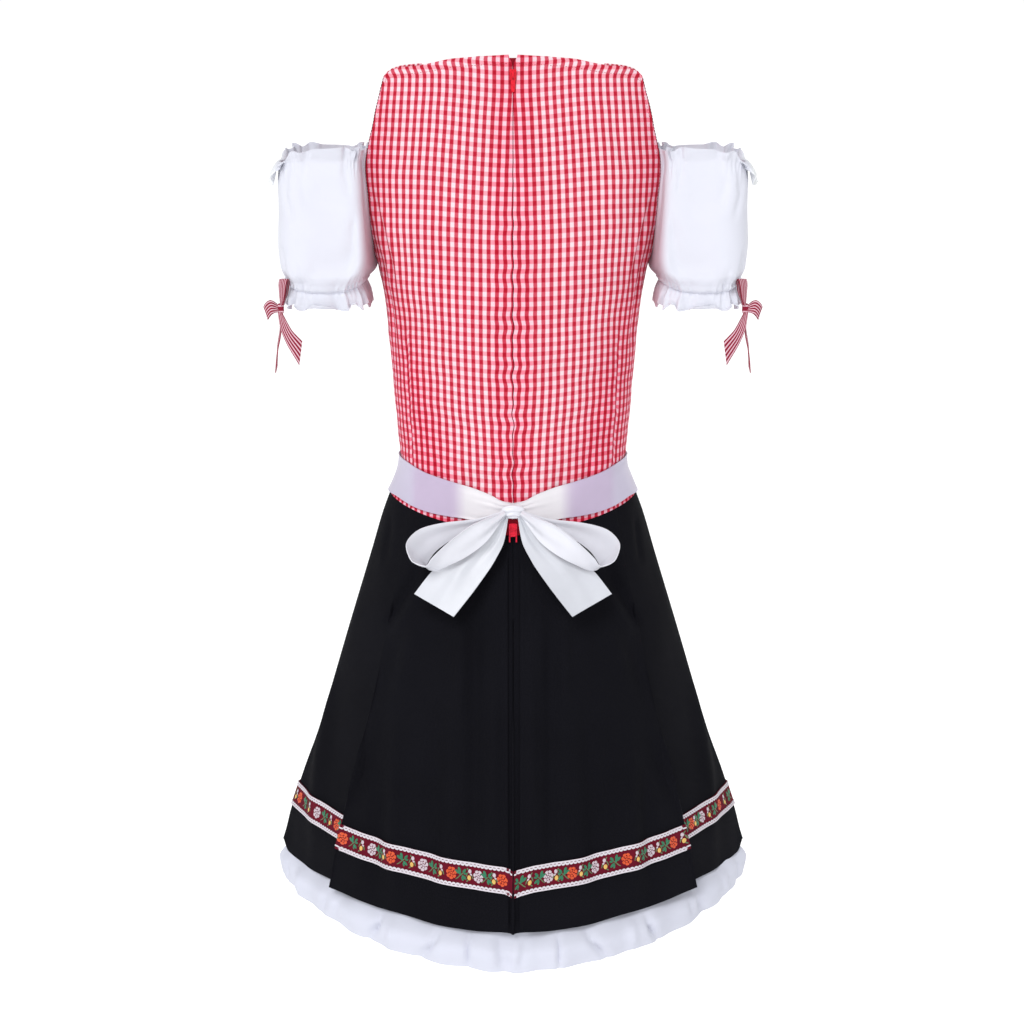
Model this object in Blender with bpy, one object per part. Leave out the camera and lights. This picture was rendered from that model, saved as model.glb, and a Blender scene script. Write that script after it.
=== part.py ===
"""A dirndl dress in a small adult size, filled out as if worn: a gingham bodice with a zip down the
back, off-the-shoulder puff sleeves with ribbon bows, a satin sash tied in a bow, a black flared
skirt with a woven ribbon above its hem, and a petticoat frill.

Everything is in metres. +X is the wearer's right, +Y the front and +Z up. The origin is midway
between the tops of the shoulders. Each cloth piece is a closed wall between an outer face and the
same face moved inwards.
"""

from collections import namedtuple
from math import pi

import bpy
import numpy as np

# ------------------------------------------------------------------ driving dimensions

SEAM_GAP = 0.0003            # clearance between pieces that meet at a seam
BODICE_WALL = 0.0014
SKIRT_WALL = 0.0014
SLEEVE_WALL = 0.0010
PETTICOAT_WALL = 0.0010
RIBBON_WALL = 0.0010
SIDE_INSET_DEG = 0.15        # how far each panel stops short of the side seam

# The filled-out form: half its width, and how far it reaches behind and in front of the side
# seams, at each height. roundness is the exponent of the superellipse (2 is an ellipse).
Section = namedtuple("Section", "z half_width back front roundness")
FORM = (
    Section(-0.875, 0.2640, 0.2400, 0.2270, 1.64),
    Section(-0.822, 0.2475, 0.2215, 0.2120, 1.64),
    Section(-0.700, 0.2072, 0.1770, 0.1700, 1.70),
    Section(-0.580, 0.1710, 0.1340, 0.1320, 1.80),
    Section(-0.500, 0.1465, 0.1065, 0.1060, 1.92),
    Section(-0.460, 0.1345, 0.0925, 0.0945, 2.00),
    Section(-0.438, 0.1265, 0.0880, 0.0895, 2.00),
    Section(-0.405, 0.1155, 0.0835, 0.0845, 2.00),
    Section(-0.370, 0.1182, 0.0838, 0.0865, 2.00),
    Section(-0.320, 0.1220, 0.0872, 0.0945, 2.00),
    Section(-0.260, 0.1270, 0.0938, 0.1125, 2.00),
    Section(-0.235, 0.1298, 0.0955, 0.1190, 2.00),
    Section(-0.205, 0.1358, 0.0961, 0.1225, 2.00),
    Section(-0.180, 0.1425, 0.0955, 0.1215, 2.00),
    Section(-0.140, 0.1510, 0.0885, 0.1110, 2.00),
    Section(-0.100, 0.1572, 0.0790, 0.0970, 2.00),
    Section(-0.060, 0.1545, 0.0680, 0.0810, 2.00),
    Section(-0.020, 0.1470, 0.0595, 0.0640, 2.00),
    Section(0.010, 0.1410, 0.0550, 0.0500, 2.00),
)

# The armhole's edges, as degrees round the form from the centre back and the centre front.
Armhole = namedtuple("Armhole", "z back_deg front_deg")
ARMHOLE = (
    Armhole(-0.205, 90.0, 90.0),
    Armhole(-0.180, 77.3, 74.0),
    Armhole(-0.140, 70.0, 66.0),
    Armhole(-0.100, 66.0, 60.5),
    Armhole(-0.060, 61.0, 57.5),
    Armhole(-0.020, 59.6, 58.0),
)
UNDERARM_Z = ARMHOLE[0].z

# Heights of a bodice panel's rows where they reach its side seam or its armhole.
SIDE_ROWS = (
    -0.438, -0.4215, -0.405, -0.385, -0.350, -0.305, -0.262, -0.235, UNDERARM_Z,
    -0.186, -0.163, -0.140, -0.121, -0.103, -0.089,
)
WAIST_SIDE_Z = SIDE_ROWS[0]
WAIST_DIP_BACK = 0.021       # the waist seam dips this far to the centre back
WAIST_DIP_FRONT = 0.010

BACK_COLUMNS = (0.0, 0.035, 0.13, 0.25, 0.37, 0.48, 0.57, 0.64, 0.73, 0.82, 0.91, 1.0)
BACK_TOP_DROP = 0.0126       # the neckline's fall from the centre back to the armhole
SHOULDER_SEAM_DROP = 0.010   # the shoulder seam lies this much lower, behind the strap's top
BACK_TOP_CURVE = 1.3
SEAM_STEP_HALF = 0.05        # half the share of the width over which the edge steps to the seam
BACK_TOP_SIDE_Z = -(BACK_TOP_DROP + SHOULDER_SEAM_DROP)
BACK_UPPER_ROWS = (-0.063, -0.042, BACK_TOP_SIDE_Z)
BACK_OPENING_HALF = 0.0006   # each back panel stops this far from the centre line
ZIP_FOLD_DEPTH = 0.0012      # the panel's folded edge turns in along the zip
ZIP_FOLD_WIDTH = 0.0030

NECK_EDGE = 0.64             # share of a panel's width where the shoulder strap starts
NECK_DEPTH_Z = -0.130        # the front neckline's lowest point
NECK_CURVE = 2.4
STRAP_START_Z = -0.050       # above this the front strap rolls over the shoulder
STRAP_ARCH = 0.017
STRAP_ROLL_ROWS = 5
STRAP_LIFT = 0.003           # the roll's last stretch runs straight down to the shoulder seam

HEM_SIDE_Z = -0.822
HEM_DIP_BACK = 0.010
HEM_DIP_FRONT = 0.006

# The back skirt in plan, from the centre back to the side seam: degrees round the form and reach
# (1 is the form itself), at the hem and at the waist. One deep pleat folds back on itself.
Plan = namedtuple("Plan", "across hem_deg hem_reach waist_deg waist_reach")
SKIRT_PLAN = (
    Plan(0.00, 0.0, 1.000, 0.0, 0.985),
    Plan(0.05, 2.2, 0.992, 4.0, 0.985),
    Plan(0.11, 6.5, 0.984, 8.5, 0.998),
    Plan(0.20, 14.0, 0.974, 16.0, 1.000),
    Plan(0.29, 22.0, 0.986, 24.0, 1.000),
    Plan(0.38, 31.0, 0.972, 32.0, 0.999),
    Plan(0.47, 40.0, 0.986, 41.0, 1.000),
    Plan(0.55, 47.5, 0.984, 48.0, 1.000),
    Plan(0.61, 52.0, 0.990, 52.0, 1.000),
    Plan(0.64, 50.6, 0.952, 53.6, 0.985),
    Plan(0.68, 53.5, 0.938, 56.5, 0.982),
    Plan(0.76, 62.0, 0.932, 64.0, 0.990),
    Plan(0.84, 71.0, 0.938, 73.0, 0.995),
    Plan(0.92, 80.5, 0.968, 81.0, 0.998),
    Plan(1.00, 90.0, 1.000, 90.0, 1.000),
)
FRONT_CENTRE_REACH = 0.985   # the front is a little flatter than the form at its centre
FRONT_CENTRE = 0.15
TRIM_ABOVE_HEM = 0.0340      # black cloth showing under the woven ribbon, along the form's height
TRIM_HEIGHT = 0.0250
TRIM_WALL = 0.0012
SKIRT_ROWS_ABOVE_TRIM = (0.25, 0.36, 0.48, 0.61, 0.74, 0.87, 1.0)

# The petticoat frill, from its free edge to its seam inside the skirt. Fullness is how far its
# plan has gone from the inner reach (0) to the hem's reach (1).
Frill = namedtuple("Frill", "z form_z inset wave fullness")
PETTICOAT = (
    Frill(-0.861, -0.825, -0.0022, 0.0034, 1.00),
    Frill(-0.841, -0.837, -0.0018, 0.0030, 0.80),
    Frill(-0.824, -0.824, 0.0046, 0.0026, 0.00),
    Frill(-0.808, -0.808, 0.0056, 0.0024, 0.00),
    Frill(-0.780, -0.780, 0.0050, 0.0018, 0.00),
    Frill(-0.748, -0.748, 0.0034, 0.0003, 0.00),
)
Reach = namedtuple("Reach", "deg inner hem")
PETTICOAT_PLAN = (
    Reach(0.0, 0.984, 0.992),
    Reach(14.0, 0.962, 1.004),
    Reach(22.0, 0.968, 1.010),
    Reach(31.0, 0.958, 1.004),
    Reach(40.0, 0.960, 0.995),
    Reach(46.0, 0.946, 0.984),
    Reach(51.0, 0.918, 0.974),
    Reach(56.0, 0.912, 0.967),
    Reach(64.0, 0.912, 0.962),
    Reach(72.0, 0.922, 0.963),
    Reach(81.0, 0.952, 0.974),
    Reach(90.0, 0.985, 0.992),
)
PETTICOAT_WAVES = 15         # in each half
PETTICOAT_UNEVEN = 0.5       # the waves' spacing drifts by this many radians
PETTICOAT_UNEVEN_WAVES = 5
SEAM_FADE = 12               # the power of across with which waves die out at a seam
COLUMNS_PER_WAVE = 4

# The right sleeve, from its frilled upper edge to its frilled cuff. The left one mirrors it.
SleeveRow = namedtuple("SleeveRow", "z centre half_width half_depth wave")
SLEEVE = (
    SleeveRow(-0.243, 0.1845, 0.0425, 0.0540, 0.0042),
    SleeveRow(-0.232, 0.1850, 0.0415, 0.0510, 0.0028),
    SleeveRow(-0.2215, 0.1865, 0.0390, 0.0470, 0.0010),
    SleeveRow(UNDERARM_Z, 0.1885, 0.0436, 0.0560, 0.0012),
    SleeveRow(-0.186, 0.1895, 0.0445, 0.0585, 0.0008),
    SleeveRow(-0.163, 0.1902, 0.0435, 0.0590, 0.0006),
    SleeveRow(-0.140, 0.1907, 0.0426, 0.0580, 0.0008),
    SleeveRow(-0.121, 0.1908, 0.0421, 0.0560, 0.0012),
    SleeveRow(-0.103, 0.1906, 0.0406, 0.0525, 0.0014),
    SleeveRow(-0.089, 0.1905, 0.0425, 0.0545, 0.0034),
)
SLEEVE_ROUNDNESS = 2.6
SLEEVE_WAVES = 16
SLEEVE_TUBE_SHARE = 0.88     # the rest of its width bridges to the armhole at each end
SLEEVE_BRIDGE_COLUMNS = 4
SLEEVE_RECESS = 0.007
SLEEVE_OPEN_DEG = 148.0      # how far round the tube runs beside the armhole
SLEEVE_CLOSED_DEG = 172.0    # and below the underarm
UNDERARM_SEAM_HALF = 0.0012
SLEEVE_CLOSING_Z = -0.163    # from here down the tube closes round to the underarm seam
SLEEVE_CLOSING_HEIGHT = 0.0585
UNDERARM_SEAM_HEIGHT = 0.0165
RECESS_SKEW = 0.6            # the bridge is deepest near the armhole
FRILL_DROOP = 0.026          # the upper frill flops over at the outer side
FRILL_FLARE = 0.004
FRILL_SPREAD = 0.19          # how much of the sleeve's width flops

# The sash round the waist: the middle of its height and half its height, by degrees from the
# centre back. It narrows into the knot.
Band = namedtuple("Band", "deg middle_z half_height")
SASH = (
    Band(0.0, -0.4392, 0.0062), Band(5.0, -0.4388, 0.0080), Band(11.0, -0.4370, 0.0125),
    Band(24.0, -0.4345, 0.0178), Band(45.0, -0.4290, 0.0195), Band(70.0, -0.4205, 0.0195),
    Band(90.0, -0.4176, 0.0190), Band(135.0, -0.4190, 0.0190), Band(180.0, -0.4200, 0.0190),
)
SASH_CLEARANCE = 0.0010
SASH_COLUMNS = 64
SASH_ROWS = 4
KNOT_CENTRE_Z = -0.4392
KNOT_HALF = (0.0075, 0.0050, 0.0072)

# Both edges of a free ribbon, station by station, for the wearer's right.
Edges = namedtuple("Edges", "ax ay az bx by bz")
SASH_LOOP = (
    Edges(0.0100, -0.1000, -0.4368, 0.0090, -0.0990, -0.4425),
    Edges(0.0379, -0.1010, -0.4455, 0.0360, -0.0995, -0.4622),
    Edges(0.0674, -0.1030, -0.4486, 0.0618, -0.1010, -0.4792),
    Edges(0.0929, -0.1070, -0.4552, 0.0786, -0.1030, -0.4900),
    Edges(0.1044, -0.1150, -0.4684, 0.0838, -0.1072, -0.4928),
    Edges(0.0983, -0.1230, -0.4825, 0.0815, -0.1120, -0.4940),
    Edges(0.0860, -0.1290, -0.4858, 0.0752, -0.1165, -0.4930),
    Edges(0.0783, -0.1320, -0.4712, 0.0642, -0.1200, -0.4876),
    Edges(0.0617, -0.1300, -0.4567, 0.0514, -0.1200, -0.4815),
    Edges(0.0365, -0.1220, -0.4446, 0.0299, -0.1165, -0.4674),
    Edges(0.0105, -0.1080, -0.4380, 0.0098, -0.1062, -0.4432),
)
SASH_TAIL = (
    Edges(0.0105, -0.1035, -0.4455, 0.0042, -0.1035, -0.4482),
    Edges(0.0300, -0.1065, -0.4600, 0.0085, -0.1090, -0.4650),
    Edges(0.0560, -0.1095, -0.4768, 0.0175, -0.1165, -0.4830),
    Edges(0.0790, -0.1120, -0.4950, 0.0357, -0.1270, -0.5080),
    Edges(0.0974, -0.1170, -0.5175, 0.0581, -0.1370, -0.5352),
)

# The ribbon bow on the right sleeve's cuff, from its knot: out from the body, back and up.
BOW_KNOT = (0.2310, -0.0345, -0.2460)
BOW_KNOT_HALF = (0.0034, 0.0030, 0.0052)
BOW_LOOP_UP = (
    Edges(-0.0010, 0.0030, 0.0062, -0.0040, 0.0058, 0.0062),
    Edges(0.0010, 0.0062, 0.0140, -0.0075, 0.0125, 0.0140),
    Edges(0.0016, 0.0070, 0.0235, -0.0075, 0.0148, 0.0235),
    Edges(0.0000, 0.0050, 0.0300, -0.0095, 0.0125, 0.0300),
    Edges(-0.0028, 0.0022, 0.0275, -0.0120, 0.0100, 0.0275),
    Edges(-0.0030, 0.0016, 0.0180, -0.0108, 0.0080, 0.0180),
    Edges(-0.0026, 0.0006, 0.0062, -0.0056, 0.0034, 0.0062),
)
BOW_LOOP_OUT = (
    Edges(0.0040, 0.0010, 0.0035, 0.0040, 0.0020, -0.0035),
    Edges(0.0095, 0.0035, 0.0088, 0.0085, 0.0050, -0.0050),
    Edges(0.0150, 0.0020, 0.0052, 0.0120, 0.0045, -0.0088),
    Edges(0.0172, -0.0020, 0.0010, 0.0138, 0.0005, -0.0112),
    Edges(0.0150, -0.0055, 0.0035, 0.0118, -0.0032, -0.0092),
    Edges(0.0092, -0.0040, 0.0076, 0.0082, -0.0020, -0.0056),
    Edges(0.0040, -0.0018, 0.0034, 0.0040, -0.0008, -0.0034),
)
BOW_TAIL_WIDE = (
    Edges(-0.0010, 0.0030, -0.0056, 0.0022, 0.0024, -0.0060),
    Edges(-0.0060, 0.0050, -0.0130, 0.0000, 0.0030, -0.0200),
    Edges(-0.0105, 0.0060, -0.0215, -0.0055, 0.0040, -0.0345),
    Edges(-0.0215, 0.0070, -0.0345, -0.0170, 0.0050, -0.0580),
)
BOW_TAIL_THIN = (
    Edges(0.0012, -0.0028, -0.0056, 0.0004, 0.0004, -0.0062),
    Edges(0.0020, -0.0075, -0.0200, 0.0014, 0.0010, -0.0240),
    Edges(0.0058, -0.0085, -0.0400, 0.0046, 0.0030, -0.0430),
    Edges(0.0070, -0.0080, -0.0590, 0.0064, 0.0045, -0.0640),
)

ZIP_TAPE_HALF = 0.0100
ZIP_TAPE_ENDS_Z = (-0.456, -0.003)
ZIP_TAPE_ROWS = 13
ZIP_TAPE_WALL = 0.0010
ZIP_TAPE_BEHIND = 0.0034     # from the panels' outer face to the tape's
ZIP_END_TOP_Z = -0.4484       # just below the sash's knot
ZIP_END_HALF = 0.0069
ZIP_END_HEIGHT = 0.0150
ZIP_STOP_SIZE = (0.0068, 0.0018, 0.0125)
ZIP_STOP_MIDDLE = 0.0095     # its middle, below the tape's top
SLIDER_Z = -0.0185           # the pull's hinge
SLIDER_PLATE = (0.0066, 0.0014, 0.0100)
SLIDER_POST = (0.0015, 0.0021, 0.0010)
SLIDER_POST_OFFSET = 0.0026
SLIDER_BAR = (0.0015, 0.0009, 0.0062)
SLIDER_SUNK = 0.0002         # how far its pieces run into each other
PULL_WIDTH = 0.0044
PULL_THICKNESS = 0.0009
PULL_LENGTH = 0.0170
PULL_EYE = (0.0023, 0.0046)  # the window's width and length
PULL_RIM = 0.0009            # the bar across the eye's top, on the hinge's axis
PULL_TIP_WIDTH = 0.0030
PULL_TAPER = 0.0040          # the length over which it narrows to its tip
PULL_CORNER = 0.0007

EDGE_SHARE = 0.2             # a moulded piece's softened edge, as a share of its least size

CENTRE_SEAM, SIDE_SEAM = 0, 1  # the axes, X and Y, that the panels' seams face
LEFT, RIGHT = -1, 1
SIDE_NAMES = {LEFT: "left", RIGHT: "right"}


# ------------------------------------------------------------------ reading the tables


def smooth(xs, ys, at):
    """A smooth curve through the points (xs, ys), with no overshoot, read at any places."""
    xs, ys, at = (np.asarray(values, float) for values in (xs, ys, at))
    steps = np.diff(xs)
    slopes = np.diff(ys) / steps
    before, after = slopes[:-1], slopes[1:]
    turning = before * after <= 0
    inner = 2 * before * after / np.where(turning, 1.0, before + after)
    tangents = np.concatenate([slopes[:1], np.where(turning, 0.0, inner), slopes[-1:]])
    at = np.clip(at, xs[0], xs[-1])
    i = np.clip(np.searchsorted(xs, at, side="right") - 1, 0, len(xs) - 2)
    t = (at - xs[i]) / steps[i]
    rise = ys[i] + (ys[i + 1] - ys[i]) * t * t * (3 - 2 * t)
    return rise + steps[i] * t * (1 - t) * (tangents[i] * (1 - t) - tangents[i + 1] * t)


def read(table, key, name, at):
    """One column of a table, read smoothly at places on its key column."""
    rows = sorted((getattr(row, key), getattr(row, name)) for row in table)
    xs, ys = zip(*rows)
    return smooth(xs, ys, at)


def mix(a, b, t):
    return a + (b - a) * t


def ease(t):
    """0 below 0, 1 above 1, and smooth between."""
    t = np.clip(t, 0.0, 1.0)
    return t * t * (3 - 2 * t)


def stack(x, y, z):
    return np.stack(np.broadcast_arrays(x, y, z), axis=-1)


def on_form(degrees, z, reach=1.0, front=False, form_z=None, inset=0.0):
    """A point of the form's right half, by degrees from the centre back or the centre front."""
    level = z if form_z is None else form_z
    power = 2 / read(FORM, "z", "roundness", level)
    angle = np.radians(degrees)
    depth = read(FORM, "z", "front" if front else "back", level) - inset
    x = (read(FORM, "z", "half_width", level) - inset) * reach * np.sin(angle) ** power
    y = np.maximum(depth * reach * np.clip(np.cos(angle), 0.0, 1.0) ** power, SEAM_GAP)
    return stack(x, y if front else -y, z)


# ------------------------------------------------------------------ surfaces


def waist_z(degrees, dip):
    return WAIST_SIDE_Z - dip * np.cos(np.radians(degrees)) ** 2


def side_share(side_z, top_z):
    """A row's share of a panel's height, from where it reaches the side."""
    return (side_z - WAIST_SIDE_Z) / (top_z - WAIST_SIDE_Z)


def back_top_z(across):
    seam = ease((across - NECK_EDGE + SEAM_STEP_HALF) / (2 * SEAM_STEP_HALF))
    return -BACK_TOP_DROP * across**BACK_TOP_CURVE - SHOULDER_SEAM_DROP * seam


def bodice_back(across, up):
    """The right back panel, from the zip (across 0) to the side and armhole (across 1)."""
    z = mix(waist_z(90 * across, WAIST_DIP_BACK), back_top_z(across), up)
    edge = read(ARMHOLE, "z", "back_deg", z) - SIDE_INSET_DEG
    start = np.degrees(BACK_OPENING_HALF / read(FORM, "z", "half_width", z))
    point = on_form(mix(start, edge, across), z)
    point[..., 1] += ZIP_FOLD_DEPTH * np.exp(-((point[..., 0] / ZIP_FOLD_WIDTH) ** 2))
    return point


def bodice_front(across, height):
    """The right half of the front. Above STRAP_START_Z, height unrolls the strap's way back."""
    z = np.minimum(height, STRAP_START_Z)
    edge = read(ARMHOLE, "z", "front_deg", z) - SIDE_INSET_DEG
    chest = on_form(across * edge, z, front=True)
    seam = bodice_back(across, np.ones_like(across)) + (0, 0, STRAP_LIFT + SEAM_GAP)
    along = np.clip((height - STRAP_START_Z) / STRAP_ARCH, 0.0, 1.0)
    swing = (1 - np.cos(pi * along)) / 2
    x = mix(chest[..., 0], seam[..., 0], along)
    y = mix(chest[..., 1], seam[..., 1], swing)
    z = mix(chest[..., 2], seam[..., 2], along) + STRAP_ARCH * np.sin(pi * along)
    return stack(x, y, z)


def neck_z(across):
    """The front neckline, from its lowest point to the strap."""
    share = np.clip(across / NECK_EDGE, 0.0, 1.0)
    return STRAP_START_Z - (STRAP_START_Z - NECK_DEPTH_Z) * (1 - share**NECK_CURVE)


def skirt(across, up, front=False):
    """The right half of the back or front skirt, from the centre to the side seam."""
    places = [row.across for row in SKIRT_PLAN]

    def plan(name):
        return smooth(places, [getattr(row, name) for row in SKIRT_PLAN], across)

    hem = HEM_SIDE_Z - (HEM_DIP_FRONT if front else HEM_DIP_BACK) * (1 - across) ** 2
    dip = WAIST_DIP_FRONT if front else WAIST_DIP_BACK
    z = mix(hem, waist_z(plan("waist_deg"), dip) - 2 * SEAM_GAP, up)
    degrees = mix(plan("hem_deg"), plan("waist_deg"), up)
    reach = mix(plan("hem_reach"), plan("waist_reach"), up)
    if front:
        reach = mix(reach, np.minimum(reach, FRONT_CENTRE_REACH), ease(1 - across / FRONT_CENTRE))
    return on_form(degrees * (1 - SIDE_INSET_DEG / 45), z, reach, front)


def petticoat(across, up, front=False):
    """Half the frill, from its left side seam (across -1) to its right one."""
    z = mix(PETTICOAT[0].z, PETTICOAT[-1].z, up)
    row = {field: read(PETTICOAT, "z", field, z) for field in Frill._fields[1:]}
    degrees = np.abs(across) * (90 - SIDE_INSET_DEG)
    inner = read(PETTICOAT_PLAN, "deg", "inner", degrees)
    reach = mix(inner, read(PETTICOAT_PLAN, "deg", "hem", degrees), row["fullness"])
    point = on_form(degrees, z, reach, front, row["form_z"], row["inset"])
    point[..., 0] *= np.sign(across)
    phase = pi * PETTICOAT_WAVES * across + PETTICOAT_UNEVEN * np.sin(PETTICOAT_UNEVEN_WAVES * across)
    swell = row["wave"] * np.sin(phase) * (1 - across**SEAM_FADE)
    outward = point[..., :2] / np.linalg.norm(point[..., :2], axis=-1, keepdims=True)
    point[..., :2] += outward * swell[..., None]
    point[..., 2] -= (HEM_DIP_FRONT if front else HEM_DIP_BACK) * (1 - np.abs(across)) ** 2
    return point


def armhole_edge(z, front):
    """Where the sleeve meets the armhole, or the closed underarm seam below it."""
    name = "front_deg" if front else "back_deg"
    sewn = np.maximum(z, UNDERARM_Z)
    edge = on_form(read(ARMHOLE, "z", name, sewn) - SIDE_INSET_DEG, sewn, front=front)
    row = {field: read(SLEEVE, "z", field, z) for field in SleeveRow._fields[1:4]}
    below = ease((UNDERARM_Z - z) / UNDERARM_SEAM_HEIGHT)
    seam_x = row["centre"] - row["half_width"]
    edge[..., 0] = mix(edge[..., 0] + 2 * SEAM_GAP, seam_x, below)
    edge[..., 1] = np.where(
        front,
        np.maximum(edge[..., 1] * (1 - below), UNDERARM_SEAM_HALF),
        np.minimum(edge[..., 1] * (1 - below), -UNDERARM_SEAM_HALF),
    )
    edge[..., 2] = z
    return edge


def sleeve(across, z):
    """The right sleeve, from the armhole's back (across -1) round the arm to its front (1)."""
    row = {field: read(SLEEVE, "z", field, z) for field in SleeveRow._fields[1:]}
    closed = ease((SLEEVE_CLOSING_Z - z) / SLEEVE_CLOSING_HEIGHT)
    round_by = np.clip(across / SLEEVE_TUBE_SHARE, -1.0, 1.0)
    angle = np.radians(mix(SLEEVE_OPEN_DEG, SLEEVE_CLOSED_DEG, closed)) * round_by
    power = 2 / SLEEVE_ROUNDNESS
    swell = row["wave"] * np.cos(pi * SLEEVE_WAVES * round_by) * (1 - round_by**SEAM_FADE)
    out = np.sign(np.cos(angle)) * np.abs(np.cos(angle)) ** power
    forward = np.sign(angle) * np.abs(np.sin(angle)) ** power
    x = row["centre"] + (row["half_width"] + swell) * out
    y = (row["half_depth"] + swell) * forward
    frill = (z - SLEEVE[-2].z) / (SLEEVE[-1].z - SLEEVE[-2].z)
    flop = np.exp(-((across / FRILL_SPREAD) ** 2)) * ease(frill)
    tube = stack(x + FRILL_FLARE * flop, y, z - FRILL_DROOP * flop)
    bridge = np.clip((np.abs(across) - SLEEVE_TUBE_SHARE) / (1 - SLEEVE_TUBE_SHARE), 0, 1)
    front = np.broadcast_to(across > 0, z.shape)
    edge = np.where(front[..., None], armhole_edge(z, True), armhole_edge(z, False))
    joined = mix(tube, edge, bridge[..., None])
    recess = SLEEVE_RECESS * (1 - closed) * np.sin(pi * bridge**RECESS_SKEW) ** 2
    joined[..., 1] -= np.sign(across) * recess
    return joined


def sash(degrees, up):
    """The sash, by degrees from the centre back round to the front, up its height."""
    folded = 180 - np.abs(180 - degrees % 360)
    middle = read(SASH, "deg", "middle_z", folded)
    half = read(SASH, "deg", "half_height", folded)
    z = middle + half * (2 * up - 1)
    back = folded <= 90
    offset = -(SASH_CLEARANCE + RIBBON_WALL)
    behind = on_form(np.minimum(folded, 90.0), z, inset=offset)
    ahead = on_form(np.clip(180 - folded, 0.0, 90.0), z, front=True, inset=offset)
    point = np.where(back[..., None], behind, ahead)
    point[..., 0] *= np.where(degrees % 360 > 180, -1.0, 1.0)
    return point


def ribbon(stations, along, across):
    """A free ribbon between its two edges, smooth along its stations."""
    places = np.linspace(0, 1, len(stations))
    ends = []
    for names in (("ax", "ay", "az"), ("bx", "by", "bz")):
        columns = [smooth(places, [getattr(s, n) for s in stations], along) for n in names]
        ends.append(np.stack(columns, axis=-1))
    return mix(ends[0], ends[1], np.asarray(across)[..., None])


# ------------------------------------------------------------------ solids


def grid(rows, columns):
    """Two arrays of the same shape: each row's value, and each column's."""
    return np.meshgrid(np.asarray(rows, float), np.asarray(columns, float), indexing="ij")


def normals(points, ring=False, seams=(None, None)):
    """Unit normals of a grid of points, on the side from which rows go up and columns right.
    seams names the axis that the first and last column's seam faces, so both walls meet flat."""
    up = np.gradient(points, axis=0)
    if ring:
        right = np.roll(points, -1, axis=1) - np.roll(points, 1, axis=1)
    else:
        right = np.gradient(points, axis=1)
    normal = np.cross(right, up)
    for column, axis in zip((0, -1), seams):
        if axis is not None:
            normal[:, column, axis] = 0.0
    return normal / np.linalg.norm(normal, axis=-1, keepdims=True)


def wall_faces(rows, columns, ring, present):
    """Triangles of a closed wall over the present cells: outer face, inner face and edges."""
    count = rows * columns
    faces = []

    def at(r, c, inner):
        return r * columns + c % columns + (count if inner else 0)

    def cell(r, c):
        c = c % columns if ring else c
        return 0 <= r < rows - 1 and 0 <= c < present.shape[1] and present[r, c]

    for r in range(rows - 1):
        for c in range(present.shape[1]):
            if not cell(r, c):
                continue
            a, b, d, e = (r, c), (r, c + 1), (r + 1, c + 1), (r + 1, c)
            for p, q, s in ((a, b, d), (a, d, e)):
                faces.append((at(*p, False), at(*q, False), at(*s, False)))
                faces.append((at(*s, True), at(*q, True), at(*p, True)))
            sides = ((a, b, (r - 1, c)), (b, d, (r, c + 1)), (d, e, (r + 1, c)), (e, a, (r, c - 1)))
            for p, q, beyond in sides:
                if cell(*beyond):
                    continue
                faces.append((at(*q, False), at(*p, False), at(*p, True)))
                faces.append((at(*q, False), at(*p, True), at(*q, True)))
    return faces


def add_mesh(name, vertices, faces, material):
    mesh = bpy.data.meshes.new(name)
    mesh.from_pydata([tuple(v) for v in vertices], [], faces)
    mesh.materials.append(material)
    obj = bpy.data.objects.new(name, mesh)
    bpy.context.scene.collection.objects.link(obj)
    return obj


def add_wall(
    name, points, thickness, material, ring=False, present=None, lift=0.0, seams=(None, None)
):
    """A cloth wall on a grid of points. lift is how far its inner face stands off them; without
    it the points are the outer face."""
    rows, columns = points.shape[:2]
    if present is None:
        present = np.ones((rows - 1, columns if ring else columns - 1), bool)
    normal = normals(points, ring, seams)
    outer = points + (lift + thickness if lift else 0.0) * normal
    inner = outer - thickness * normal
    faces = wall_faces(rows, columns, ring, present)
    both = np.concatenate([outer.reshape(-1, 3), inner.reshape(-1, 3)])
    used = sorted({index for face in faces for index in face})
    place = {index: k for k, index in enumerate(used)}
    kept = [tuple(place[index] for index in face) for face in faces]
    return add_mesh(name, both[used], kept, material)


def mirrored(points):
    """The same grid on the wearer's other side, with its columns turned so it still faces out."""
    return (points * (-1, 1, 1))[:, ::-1]


def on_side(points, side):
    return points if side == RIGHT else mirrored(points)


def add_box(name, centre, size, material, tilt=0.0):
    """A block, tilted about X, with softened edges."""
    bpy.ops.mesh.primitive_cube_add(size=1)
    obj = bpy.context.object
    obj.name = obj.data.name = name
    obj.data.transform(((size[0], 0, 0, 0), (0, size[1], 0, 0), (0, 0, size[2], 0), (0, 0, 0, 1)))
    obj.location = centre
    obj.rotation_euler = (tilt, 0, 0)
    obj.data.materials.append(material)
    bevel = obj.modifiers.new("softened edges", "BEVEL")
    bevel.width = min(size) * EDGE_SHARE
    bevel.segments = 1
    return obj


def add_material(name, colour, roughness, metallic=0.0):
    material = bpy.data.materials.new(name)
    material.use_nodes = True
    shader = material.node_tree.nodes["Principled BSDF"]
    shader.inputs["Base Color"].default_value = (*colour, 1)
    shader.inputs["Roughness"].default_value = roughness
    shader.inputs["Metallic"].default_value = metallic
    return material


# ------------------------------------------------------------------ bodice


def back_rows():
    return [side_share(z, BACK_TOP_SIDE_Z) for z in (*SIDE_ROWS, *BACK_UPPER_ROWS)]


def add_bodice_backs(material):
    up, across = grid(back_rows(), BACK_COLUMNS)
    panel = bodice_back(across, up)
    for side in (LEFT, RIGHT):
        name = f"bodice_back_{SIDE_NAMES[side]}"
        add_wall(name, on_side(panel, side), BODICE_WALL, material)


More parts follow.
